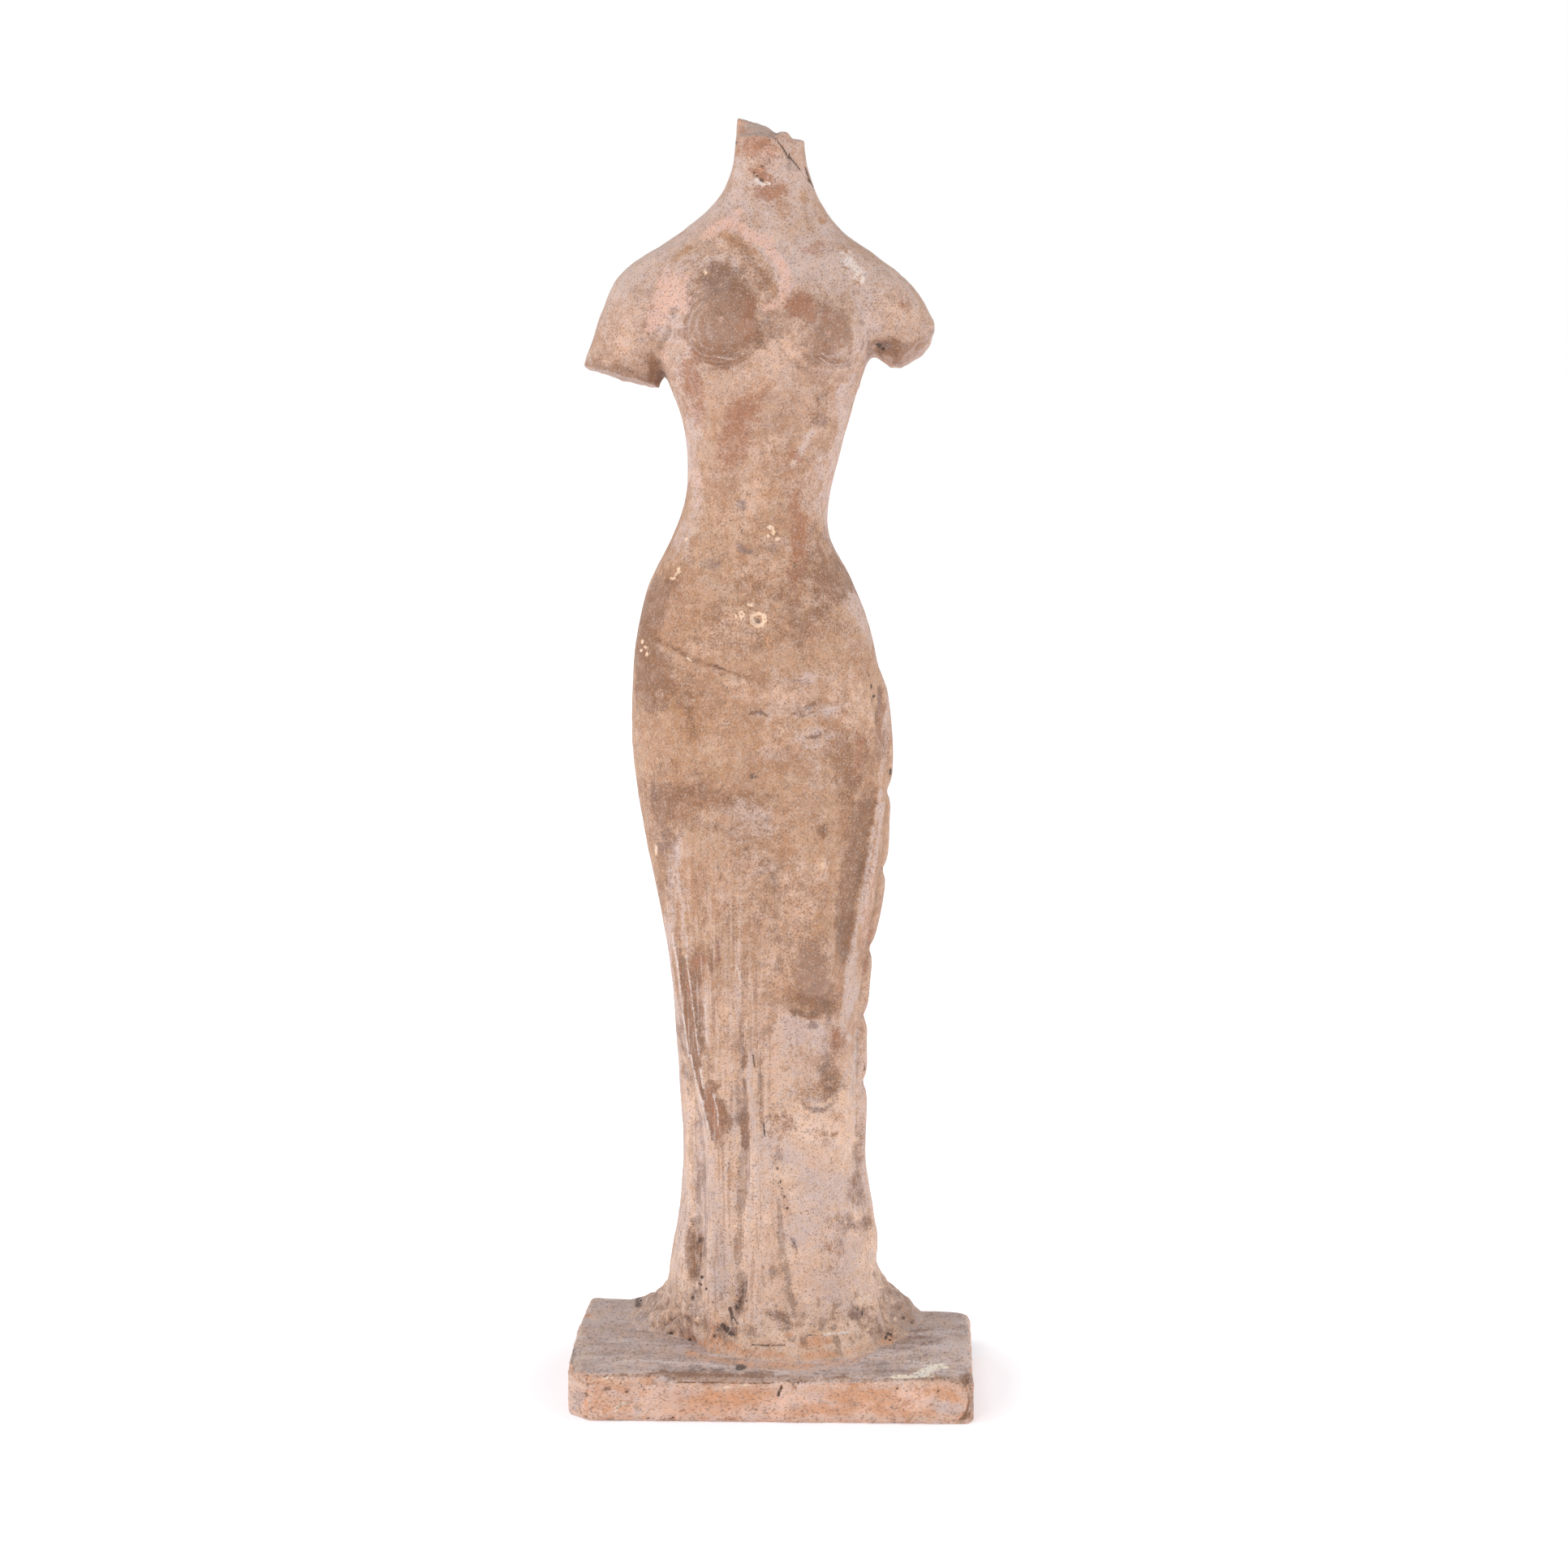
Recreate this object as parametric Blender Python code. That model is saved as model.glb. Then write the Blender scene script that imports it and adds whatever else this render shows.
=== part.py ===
"""Terracotta statuette of a standing draped woman, head and arms lost, on a slab plinth.

Metres, +Z up, the front faces -Y. The origin is the middle of the plinth's underside.
The figure is free form: its outlines and carving are thousandths of its own height.
"""
import math
from bisect import bisect_right

import bpy
import bmesh
from mathutils import Vector

# Driving dimensions, in metres
FIGURE_HEIGHT = 0.2264
PLINTH_WIDTH = 0.0740
PLINTH_DEPTH = 0.0525
PLINTH_THICKNESS = 0.0083
PLINTH_SHORT_SIDE_CUT = 0.0080
PLINTH_BACK_CORNER_ROUND = 0.0030
PLINTH_FRONT_CORNER_ROUND = 0.0014
PLINTH_CORNER_FACET = 0.0036
PLINTH_RIM_ROUND = 0.0009
PLINTH_EDGE_WAVE = 0.0004
PLINTH_WAVES = ((2.2, 0.6), (5.1, 0.4))
PLINTH_CUTS_ACROSS = 8
PLINTH_CUTS_DEEP = 4
BED_GAP = 0.0003
HEM_TO_SLAB_BACK = 0.0032
LUTING_HEIGHT = 0.0125
LUTING_LIP = 0.0006
LUTING_EDGE_MARGIN = 0.0015

# Mesh density
BODY_SEGMENTS = 68
BODY_RINGS = 58
FRONT_CROWDING = 0.28
ARM_SEGMENTS = 22
ARM_RINGS = 9
NECK_CAP_INSET = 0.45
NECK_RING_GAP = 11.0
NECK_RINGS = 6
LUTING_RINGS = (0.12, 0.3, 0.55, 0.8)

BED_HEIGHT = PLINTH_THICKNESS + BED_GAP
THOUSANDTH = FIGURE_HEIGHT / 1000.0

# Outlines of the body: (height, distance from the axis), thousandths of the figure's height
LEFT_OUTLINE = (
    (0, 91), (52, 89), (103, 81), (150, 77), (205, 79), (262, 83), (326, 87), (377, 97),
    (437, 110), (496, 117), (545, 117), (594, 112), (631, 102), (666, 84), (693, 74),
    (722, 71), (762, 76), (792, 87), (824, 100), (856, 112), (878, 116), (890, 111),
    (899, 95), (915, 71), (930, 53), (946, 41), (966, 34), (1000, 31),
)
RIGHT_OUTLINE = (
    (0, 85), (52, 84), (103, 76), (150, 70), (205, 71), (262, 71), (326, 76), (377, 85),
    (437, 89), (496, 91), (545, 86), (594, 76), (631, 62), (666, 44), (693, 43),
    (722, 49), (762, 60), (792, 69), (824, 80), (856, 90), (878, 91), (890, 84),
    (899, 71), (915, 50), (930, 39), (946, 31), (966, 25), (1000, 22),
)
FRONT_OUTLINE = (
    (0, 65), (50, 61), (110, 56), (160, 54), (260, 56), (300, 58), (380, 60), (470, 62),
    (550, 61), (610, 57), (660, 51), (700, 48), (760, 50), (820, 54), (865, 51),
    (895, 42), (920, 32), (945, 27), (1000, 28),
)
BACK_OUTLINE = (
    (0, 62), (60, 61), (150, 60), (260, 58), (350, 57), (440, 61), (510, 66), (560, 69),
    (600, 67), (640, 58), (690, 46), (730, 45), (790, 50), (850, 54), (890, 50),
    (920, 41), (950, 32), (1000, 29),
)
SQUARENESS = (
    (0, 2.5), (300, 2.5), (560, 2.35), (700, 2.3), (840, 2.5), (900, 2.2), (950, 2.0), (1000, 2.0),
)
# The figure stands close to the slab's back edge
HEM_BACK = BACK_OUTLINE[0][1] * THOUSANDTH
FIGURE_AXIS_Y = (PLINTH_DEPTH - PLINTH_SHORT_SIDE_CUT) / 2 - HEM_TO_SLAB_BACK - HEM_BACK

# Carving on the front: x to the right of the axis, z above the bed, in thousandths
SWELLING_FULLNESS = 1.3
BREASTS = ((-43, 840), (43, 829))
BREAST_WIDTH = 35
BREAST_RISE = 44
BREAST_DROP = 28
BREAST_RELIEF = 18
NAVEL = (-14, 604)
NAVEL_SIZE = 9
NAVEL_DEPTH = 5
BELLY = (-13, 597)
BELLY_SIZE = 62
BELLY_RELIEF = 5
GARMENT_EDGE = ((-113, 594), (-67, 573), (-15, 558), (41, 563), (88, 569))
GARMENT_STEP = 3
GARMENT_STEP_RUN = 4
GARMENT_STEP_FADE = 90
THIGH_LINE = ((26, 479), (32, 392), (32, 315))
THIGH_WIDTH = 36
THIGH_RELIEF = 8
KNEE = (33, 312)
KNEE_WIDTH = 30
KNEE_RISE = 52
KNEE_DROP = 24
KNEE_RELIEF = 11
SHIN_HOLLOW = (45, 238)
SHIN_HOLLOW_SIZE = 26
SHIN_HOLLOW_DEPTH = 8
STANDING_LEG_LINE = ((-47, 479), (-39, 342), (-34, 233))
STANDING_LEG_WIDTH = 34
STANDING_LEG_RELIEF = 4

FOLD_FADE = 0.18
SIDE_FADE = 0.55
# Folds that hang: (line of x and z from top to bottom, half-width, relief), negative where cut in
HANGING_FOLDS = (
    (((-93, 398), (-76, 308), (-62, 243), (-46, 191), (-43, 134)), 7, 6),
    (((-104, 404), (-84, 306), (-71, 242), (-57, 190), (-51, 115), (-50, 20)), 6, 8),
    (((-82, 297), (-70, 230), (-58, 172), (-64, 109), (-62, 34)), 7, -8),
    (((-19, 249), (-15, 180), (-12, 107), (-9, 20)), 7, 6),
    (((-28, 233), (-25, 163), (-29, 94), (-30, 20)), 7, -6),
    (((5, 164), (7, 94), (14, 47), (15, 18)), 7, -6),
    (((41, 123), (39, 77), (38, 20)), 15, 5),
    (((93, 482), (77, 387), (58, 306), (55, 250), (57, 181)), 6, 8),
    (((80, 475), (64, 387), (45, 312), (43, 260)), 6, -5),
    (((84, 334), (72, 253), (68, 164), (66, 71)), 7, -3),
)
# Folds caught under the knee: (line of x and z from left to right, half-width, relief)
CAUGHT_FOLDS = (
    (((22, 218), (36, 200), (53, 203), (64, 229)), 6, 6),
    (((12, 191), (31, 177), (53, 171)), 8, 3),
)
BUTTOCKS = ((-48, 566), (36, 562))
BUTTOCK_WIDTH = 44
BUTTOCK_RISE = 60
BUTTOCK_DROP = 64
BUTTOCK_RELIEF = 7
SPINE_X = -10
SPINE_WIDTH = 10
SPINE_DEPTH = 5
SPINE_SPAN = (620, 880)
SPINE_FADE = 50
BACK_FOLD_COUNT = 4
BACK_FOLD_RELIEF = 2.5
BACK_FOLD_TOP = 520
BACK_FOLD_FADE = 160

# Mould seam left standing along the right side, with the places where it has chipped away
SEAM_SPAN = (55, 566)
SEAM_FADE = 28
SEAM_RELIEF = 5
SEAM_EDGE = 0.93
SEAM_CHIPS = (326, 268, 212, 392, 458)
SEAM_CHIP_LENGTH = 7
SEAM_CHIP_LOSS = 0.8

# Neck break: it rises to the back left, in thousandths above the bed
NECK_TOP = 1000
NECK_BREAK_START = 955
NECK_BREAK_HEIGHT = 989
NECK_BREAK_TO_BACK = 0.25
NECK_BREAK_TO_LEFT = 0.22
NECK_BREAK_ROUGHNESS = 1.6
NECK_BREAK_GRAIN = (0.37, 0.31)

# Luting clay: how far it spreads, thousandths, at each bearing in degrees from +X
LUTING_SPREAD = (
    (0, 36), (40, 51), (75, 22), (105, 28), (135, 66), (160, 70), (190, 34),
    (225, 17), (270, 13), (315, 19), (340, 27), (360, 36),
)
# Its profile at each bearing: 1 is a straight slope, more is hollow
LUTING_HOLLOW = (
    (0, 1.4), (50, 1.3), (110, 1.8), (160, 2.2), (225, 2.2), (270, 1.6), (330, 1.4), (360, 1.4),
)

# Upper arms, broken off short: (x, z, half-width, half-depth, lean in degrees from level)
LEFT_ARM = (
    (-48, 858, 28, 34, 80), (-84, 861, 36, 40, 68), (-104, 845, 38, 39, 54), (-113, 826, 35, 34, 39),
    (-119, 811, 32, 30, 26), (-124, 798, 32, 28, 16), (-129, 775, 31, 27, 12),
)
RIGHT_ARM = (
    (36, 858, 28, 34, -80), (72, 857, 33, 40, -64), (88, 846, 32, 37, -58), (99, 835, 30, 33, -51),
    (110, 821, 26, 29, -48), (122, 809, 25, 27, -46),
)
ARM_AXIS_BACK = 2
LEFT_ARM_BREAK = ((-124, 794), (-0.27, -0.13, -1.0))
RIGHT_ARM_BREAK = ((112, 821), (0.75, 0.10, -0.66))

CLAY_COLOUR = (0.47, 0.31, 0.22, 1.0)
SLAB_COLOUR = (0.40, 0.27, 0.20, 1.0)
CLAY_ROUGHNESS = 0.9


def outline_at(outline, height):
    """Smooth value of a drawn outline at a height."""
    heights = [point[0] for point in outline]
    if height <= heights[0]:
        return outline[0][1]
    if height >= heights[-1]:
        return outline[-1][1]
    index = bisect_right(heights, height) - 1
    (low, start), (high, end) = outline[index], outline[index + 1]

    def slope(at):
        before = outline[max(at - 1, 0)]
        after = outline[min(at + 1, len(outline) - 1)]
        return (after[1] - before[1]) / (after[0] - before[0])

    span = high - low
    t = (height - low) / span
    rise = start * (1 + 2 * t) * (1 - t) ** 2 + end * t * t * (3 - 2 * t)
    bend = slope(index) * span * t * (1 - t) ** 2 - slope(index + 1) * span * t * t * (1 - t)
    return rise + bend


def step(low, high, value):
    """Smooth step from 0 at low to 1 at high."""
    t = min(max((value - low) / (high - low), 0.0), 1.0)
    return t * t * (3 - 2 * t)


def between(span, fade, value):
    """1 inside a span, fading to 0 just within its ends."""
    return step(span[0], span[0] + fade, value) * (1 - step(span[1] - fade, span[1], value))


def dome(distance):
    """Rounded swelling: 1 at the middle, level at 1 and beyond."""
    return 0.5 + 0.5 * math.cos(math.pi * min(distance, 1.0))


def ridge(distance):
    """Rounded fold across its line."""
    return math.exp(-distance * distance)


def hanging_line(line, z):
    """Place across the front of a line drawn from top to bottom, and how much of it is there."""
    rising = [(height, x) for x, height in reversed(line)]
    bottom, top = rising[0][0], rising[-1][0]
    fade = (top - bottom) * FOLD_FADE
    return outline_at(rising, z), between((bottom - fade, top + fade), 2 * fade, z)


def fold_relief(x, z):
    """All the folds of the front, raised and cut in."""
    total = 0.0
    for line, width, relief in HANGING_FOLDS:
        centre, present = hanging_line(line, z)
        total += relief * present * ridge((x - centre) / width)
    for line, width, relief in CAUGHT_FOLDS:
        present = between((line[0][0] - width, line[-1][0] + width), 2 * width, x)
        total += relief * present * ridge((z - outline_at(line, x)) / width)
    return total


def swelling(x, z, centre, width, rise, drop):
    """Dome with its own reach above and below."""
    reach = rise if z > centre[1] else drop
    distance = math.hypot((x - centre[0]) / width, (z - centre[1]) / reach)
    return dome(distance ** SWELLING_FULLNESS)


def front_relief(x, z):
    """Carving of the front, in thousandths outwards."""
    total = fold_relief(x, z)
    for breast in BREASTS:
        total += BREAST_RELIEF * swelling(x, z, breast, BREAST_WIDTH, BREAST_RISE, BREAST_DROP)
    total -= NAVEL_DEPTH * swelling(x, z, NAVEL, NAVEL_SIZE, NAVEL_SIZE, NAVEL_SIZE)
    total += BELLY_RELIEF * swelling(x, z, BELLY, BELLY_SIZE, BELLY_SIZE, BELLY_SIZE)
    total += KNEE_RELIEF * swelling(x, z, KNEE, KNEE_WIDTH, KNEE_RISE, KNEE_DROP)
    total -= SHIN_HOLLOW_DEPTH * swelling(x, z, SHIN_HOLLOW, SHIN_HOLLOW_SIZE, SHIN_HOLLOW_SIZE,
                                          SHIN_HOLLOW_SIZE)
    centre, present = hanging_line(THIGH_LINE, z)
    total += THIGH_RELIEF * present * dome(abs(x - centre) / THIGH_WIDTH)
    centre, present = hanging_line(STANDING_LEG_LINE, z)
    total += STANDING_LEG_RELIEF * present * dome(abs(x - centre) / STANDING_LEG_WIDTH)
    edge = outline_at(GARMENT_EDGE, x)
    below = 1 - step(edge - GARMENT_STEP_RUN, edge + GARMENT_STEP_RUN, z)
    total += GARMENT_STEP * below * step(edge - GARMENT_STEP_FADE, edge, z)
    return total


def back_relief(x, z):
    """Carving of the back, plainer than the front."""
    total = 0.0
    for buttock in BUTTOCKS:
        total += BUTTOCK_RELIEF * swelling(x, z, buttock, BUTTOCK_WIDTH, BUTTOCK_RISE, BUTTOCK_DROP)
    along = between(SPINE_SPAN, SPINE_FADE, z)
    total -= SPINE_DEPTH * along * ridge((x - SPINE_X) / SPINE_WIDTH)
    spread = outline_at(LEFT_OUTLINE, z) + outline_at(RIGHT_OUTLINE, z)
    wave = math.cos(2 * math.pi * BACK_FOLD_COUNT * x / spread)
    total += BACK_FOLD_RELIEF * wave * (1 - step(BACK_FOLD_TOP - BACK_FOLD_FADE, BACK_FOLD_TOP, z))
    return total


def seam_relief(side, z):
    """Ragged mould seam down the right side."""
    present = between(SEAM_SPAN, SEAM_FADE, z)
    for chip in SEAM_CHIPS:
        present *= 1 - SEAM_CHIP_LOSS * ridge((z - chip) / SEAM_CHIP_LENGTH)
    return SEAM_RELIEF * present * step(SEAM_EDGE, 1.0, side)


def neck_break(x, y):
    """Height of the broken neck above the bed, in thousandths."""
    tilt = y * NECK_BREAK_TO_BACK - x * NECK_BREAK_TO_LEFT
    rough = math.sin(NECK_BREAK_GRAIN[0] * x + 1) * math.cos(NECK_BREAK_GRAIN[1] * y) * NECK_BREAK_ROUGHNESS
    return NECK_BREAK_HEIGHT + tilt + rough


def slab_back(x):
    """Back edge of the slab, which runs askew."""
    return PLINTH_DEPTH / 2 - PLINTH_SHORT_SIDE_CUT * (x / PLINTH_WIDTH + 0.5)


def body_point(bearing, height, inset=1.0):
    """Point of the figure's skin at a bearing (0 is +X) and a height, in metres."""
    left = outline_at(LEFT_OUTLINE, height)
    right = outline_at(RIGHT_OUTLINE, height)
    power = 2.0 / outline_at(SQUARENESS, height)
    along_x, along_y = math.cos(bearing), math.sin(bearing)
    reach_x = math.copysign(abs(along_x) ** power, along_x)
    reach_y = math.copysign(abs(along_y) ** power, along_y)
    depth = outline_at(BACK_OUTLINE if reach_y > 0 else FRONT_OUTLINE, height)
    half = (left + right) / 2
    x = (right - left) / 2 + half * reach_x
    y = depth * reach_y
    facing = Vector((along_x / half, along_y / depth))
    facing.normalize()
    out = front_relief(x, height) * step(0.0, SIDE_FADE, -facing.y)
    out += back_relief(x, height) * step(0.0, SIDE_FADE, facing.y)
    out += seam_relief(facing.x, height)
    lift = height * THOUSANDTH
    if lift < LUTING_HEIGHT:
        rise = max(lift - LUTING_LIP, 0.0) / (LUTING_HEIGHT - LUTING_LIP)
        turn = math.degrees(bearing) % 360
        out += outline_at(LUTING_SPREAD, turn) * (1 - rise) ** outline_at(LUTING_HOLLOW, turn)
    x = (x + facing.x * out) * inset
    y = (y + facing.y * out) * inset
    if height > NECK_BREAK_START:
        share = (height - NECK_BREAK_START) / (NECK_TOP - NECK_BREAK_START)
        height = NECK_BREAK_START + (neck_break(x, y) - NECK_BREAK_START) * share
    point = Vector((x, y, height)) * THOUSANDTH
    point.y += FIGURE_AXIS_Y
    if lift < LUTING_HEIGHT:
        side_limit = PLINTH_WIDTH / 2 - LUTING_EDGE_MARGIN
        point.x = min(max(point.x, -side_limit), side_limit)
        slab_front = -PLINTH_DEPTH / 2
        point.y = max(point.y, slab_front + LUTING_EDGE_MARGIN)
        point.y = min(point.y, slab_back(point.x) - LUTING_EDGE_MARGIN)
    return point + Vector((0.0, 0.0, BED_HEIGHT))


def ring_heights():
    """Heights of the body's rings: close in the luting and the neck, even between."""
    low = [0.0] + [(LUTING_LIP + LUTING_HEIGHT * share) / THOUSANDTH for share in (0.0,) + LUTING_RINGS]
    high = [NECK_TOP - NECK_RING_GAP * index for index in reversed(range(NECK_RINGS))]
    count = BODY_RINGS - len(low) - len(high)
    gap = (high[0] - low[-1]) / (count + 1)
    return low + [low[-1] + gap * (index + 1) for index in range(count)] + high


def cylinder(segments, rings):
    """Closed unit cylinder with evenly spaced rings and capped ends."""
    mesh = bmesh.new()
    bmesh.ops.create_cone(mesh, cap_ends=True, segments=segments, radius1=1.0, radius2=1.0, depth=1.0)
    upright = [edge for edge in mesh.edges if abs(edge.verts[0].co.z - edge.verts[1].co.z) > 0.5]
    bmesh.ops.subdivide_edges(mesh, edges=upright, cuts=rings - 2, use_grid_fill=True)
    return mesh


def end_face(mesh, level):
    """The flat end of a unit cylinder at that level."""
    return next(face for face in mesh.faces if all(abs(v.co.z - level) < 1e-5 for v in face.verts))


def make_body():
    """Neck, torso, wrapped legs and luting as one closed skin."""
    mesh = cylinder(BODY_SEGMENTS, BODY_RINGS)
    neck_cap = end_face(mesh, 0.5)
    bmesh.ops.inset_individual(mesh, faces=[neck_cap], thickness=NECK_CAP_INSET)
    bmesh.ops.poke(mesh, faces=[neck_cap])
    heights = ring_heights()
    for vertex in mesh.verts:
        ring = round((vertex.co.z + 0.5) * (BODY_RINGS - 1))
        turn = math.atan2(vertex.co.y, vertex.co.x)
        bearing = turn - FRONT_CROWDING * math.cos(turn)
        vertex.co = body_point(bearing, heights[ring], math.hypot(vertex.co.x, vertex.co.y))
    return mesh


def arm_section(arm, along):
    """Values of an arm's sections at a share of its length."""
    numbered = [[(index, section[value]) for index, section in enumerate(arm)] for value in range(5)]
    return [outline_at(values, along * (len(arm) - 1)) for values in numbered]


def make_arm(arm, end):
    """Upper arm from inside the shoulder to its break."""
    mesh = cylinder(ARM_SEGMENTS, ARM_RINGS)
    (break_x, break_z), facing = end
    break_point = Vector((break_x, ARM_AXIS_BACK, break_z))
    facing = Vector(facing).normalized()
    for vertex in mesh.verts:
        along = 0.5 - vertex.co.z
        x, z, half_width, half_depth, lean = arm_section(arm, along)
        across = Vector((math.cos(math.radians(lean)), 0.0, -math.sin(math.radians(lean))))
        point = Vector((x, ARM_AXIS_BACK, z)) + across * (vertex.co.x * half_width)
        point.y += vertex.co.y * half_depth
        vertex.co = point
    cut = bmesh.ops.bisect_plane(mesh, geom=mesh.verts[:] + mesh.edges[:] + mesh.faces[:], dist=1e-4,
                                 plane_co=break_point, plane_no=facing, clear_outer=True)
    rim = [item for item in cut["geom_cut"] if isinstance(item, bmesh.types.BMEdge)]
    if rim:
        bmesh.ops.holes_fill(mesh, edges=rim, sides=0)
    for vertex in mesh.verts:
        vertex.co = vertex.co * THOUSANDTH + Vector((0.0, FIGURE_AXIS_Y, BED_HEIGHT))
    bmesh.ops.recalc_face_normals(mesh, faces=mesh.faces[:])
    for face in mesh.faces:
        face.smooth = True
    return mesh


def front_wave(x):
    """How far the hand-cut front edge of the slab falls short at x, in metres."""
    turn = 2 * math.pi * x / PLINTH_WIDTH
    return PLINTH_EDGE_WAVE * (1 + sum(share * math.sin(count * turn) for count, share in PLINTH_WAVES))


def make_plinth():
    """Slab with a skewed back, worn corners and soft rims."""
    mesh = bmesh.new()
    bmesh.ops.create_cube(mesh, size=1.0)
    size = Vector((PLINTH_WIDTH, PLINTH_DEPTH, PLINTH_THICKNESS))
    for vertex in mesh.verts:
        vertex.co = Vector([vertex.co[axis] * size[axis] for axis in range(3)])
        vertex.co.z += PLINTH_THICKNESS / 2
        if vertex.co.x > 0 and vertex.co.y > 0:
            vertex.co.y -= PLINTH_SHORT_SIDE_CUT

    def corner(right, back):
        return [edge for edge in mesh.edges
                if all((v.co.x > 0) == right and (v.co.y > 0) == back for v in edge.verts)
                and abs(edge.verts[0].co.z - edge.verts[1].co.z) > PLINTH_THICKNESS / 2]

    for right, back, width, segments in (
            (False, False, PLINTH_CORNER_FACET, 1), (True, False, PLINTH_FRONT_CORNER_ROUND, 2),
            (True, True, PLINTH_BACK_CORNER_ROUND, 3), (False, True, PLINTH_FRONT_CORNER_ROUND, 2)):
        bmesh.ops.bevel(mesh, geom=corner(right, back), offset=width, segments=segments, profile=0.5,
                        affect='EDGES', offset_type='OFFSET', material=-1)
    cuts = [(Vector((PLINTH_WIDTH * (cut / PLINTH_CUTS_ACROSS - 0.5), 0, 0)), Vector((1, 0, 0)))
            for cut in range(1, PLINTH_CUTS_ACROSS)]
    cuts += [(Vector((0, PLINTH_DEPTH * (cut / PLINTH_CUTS_DEEP - 0.5), 0)), Vector((0, 1, 0)))
             for cut in range(1, PLINTH_CUTS_DEEP)]
    for place, facing in cuts:
        bmesh.ops.bisect_plane(mesh, geom=mesh.verts[:] + mesh.edges[:] + mesh.faces[:], dist=1e-6,
                               plane_co=place, plane_no=facing)
    rims = [edge for edge in mesh.edges
            if abs(edge.verts[0].co.z - edge.verts[1].co.z) < 1e-7
            and any(abs(face.normal.z) < 0.5 for face in edge.link_faces)]
    bmesh.ops.bevel(mesh, geom=rims, offset=PLINTH_RIM_ROUND, segments=2, profile=0.5,
                    affect='EDGES', offset_type='OFFSET', material=-1)
    for vertex in mesh.verts:
        if vertex.co.y < -PLINTH_DEPTH / 2 + PLINTH_RIM_ROUND * 0.6:
            vertex.co.y += front_wave(vertex.co.x)
    return mesh


def clay_material(name, colour):
    """Plain fired clay."""
    material = bpy.data.materials.new(name)
    material.use_nodes = True
    shader = material.node_tree.nodes["Principled BSDF"]
    shader.inputs["Base Color"].default_value = colour
    shader.inputs["Roughness"].default_value = CLAY_ROUGHNESS
    shader.inputs["Metallic"].default_value = 0.0
    return material


def add_object(name, mesh, collection, material=None):
    """Turns a bmesh into a named object."""
    data = bpy.data.meshes.new(name)
    mesh.to_mesh(data)
    mesh.free()
    thing = bpy.data.objects.new(name, data)
    collection.objects.link(thing)
    if material:
        data.materials.append(material)
    return thing


def new_collection(name):
    """A collection in the scene."""
    collection = bpy.data.collections.new(name)
    bpy.context.scene.collection.children.link(collection)
    return collection


def join_arm(figure, name, mesh, collection):
    """Unites an upper arm with the body."""
    arm = add_object(name, mesh, collection)
    arm.hide_render = True
    arm.display_type = 'WIRE'
    union = figure.modifiers.new("join " + name, 'BOOLEAN')
    union.operation = 'UNION'
    union.solver = 'EXACT'
    union.object = arm


def main():
    for thing in list(bpy.data.objects):
        bpy.data.objects.remove(thing, do_unlink=True)
    parts = new_collection("terracotta statuette")
    shapes = new_collection("joined shapes")
    figure = add_object("figure", make_body(), parts, clay_material("figure clay", CLAY_COLOUR))
    join_arm(figure, "left upper arm", make_arm(LEFT_ARM, LEFT_ARM_BREAK), shapes)
    join_arm(figure, "right upper arm", make_arm(RIGHT_ARM, RIGHT_ARM_BREAK), shapes)
    figure.data.shade_smooth()
    plinth = add_object("plinth", make_plinth(), parts, clay_material("slab clay", SLAB_COLOUR))
    plinth.data.shade_smooth()
    plinth.data.set_sharp_from_angle(angle=math.radians(40))


main()
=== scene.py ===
import math

import bmesh
import bpy
import numpy as np
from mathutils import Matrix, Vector, noise


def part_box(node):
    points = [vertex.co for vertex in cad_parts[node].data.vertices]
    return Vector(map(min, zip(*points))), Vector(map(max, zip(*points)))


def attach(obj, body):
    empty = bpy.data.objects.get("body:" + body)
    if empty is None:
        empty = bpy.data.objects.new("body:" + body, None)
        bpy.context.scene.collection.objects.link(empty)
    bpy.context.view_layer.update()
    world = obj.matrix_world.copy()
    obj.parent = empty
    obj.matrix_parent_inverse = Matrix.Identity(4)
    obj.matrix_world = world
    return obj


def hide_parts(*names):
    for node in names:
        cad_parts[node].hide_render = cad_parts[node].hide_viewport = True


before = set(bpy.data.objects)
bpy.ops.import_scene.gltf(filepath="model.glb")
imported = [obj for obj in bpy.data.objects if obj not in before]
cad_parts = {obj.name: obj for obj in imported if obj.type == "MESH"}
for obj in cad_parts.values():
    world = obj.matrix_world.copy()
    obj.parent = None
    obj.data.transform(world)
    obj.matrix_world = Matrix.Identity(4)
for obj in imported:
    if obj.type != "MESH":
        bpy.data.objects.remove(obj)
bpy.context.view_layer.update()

# Camera of the photograph
PHOTO_SIDE = 1932
CAMERA_PLACE = Vector((0.02369, -0.69465, 0.22094))
CAMERA_AIM = Vector((0.001535, 0.0050, 0.113274))
CAMERA_LENS = 87.42
CAMERA_SENSOR = 36.0
MM = 0.001

# Sizes of the frame
FIGURE_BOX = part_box("figure")
PLINTH_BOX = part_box("plinth")
FIGURE_HEIGHT = 0.2264
THOUSANDTH = FIGURE_HEIGHT / 1000.0
BED_HEIGHT = FIGURE_BOX[0].z
PLINTH_WIDTH = PLINTH_BOX[1].x - PLINTH_BOX[0].x
PLINTH_DEPTH = 0.0525
PLINTH_THICKNESS = PLINTH_BOX[1].z
PLINTH_SHORT_SIDE_CUT = 0.0080
PLINTH_BACK_CORNER_ROUND = 0.0030
PLINTH_FRONT_CORNER_ROUND = 0.0014
PLINTH_CORNER_FACET = 0.0036
PLINTH_RIM_ROUND = 0.0009
PLINTH_EDGE_WAVE = 0.0004
PLINTH_LEFT_BULGE = 0.0009
PLINTH_WAVES = ((2.2, 0.6), (5.1, 0.4))
HEM_TO_SLAB_BACK = 0.0032
LUTING_HEIGHT = 0.0125
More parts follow.
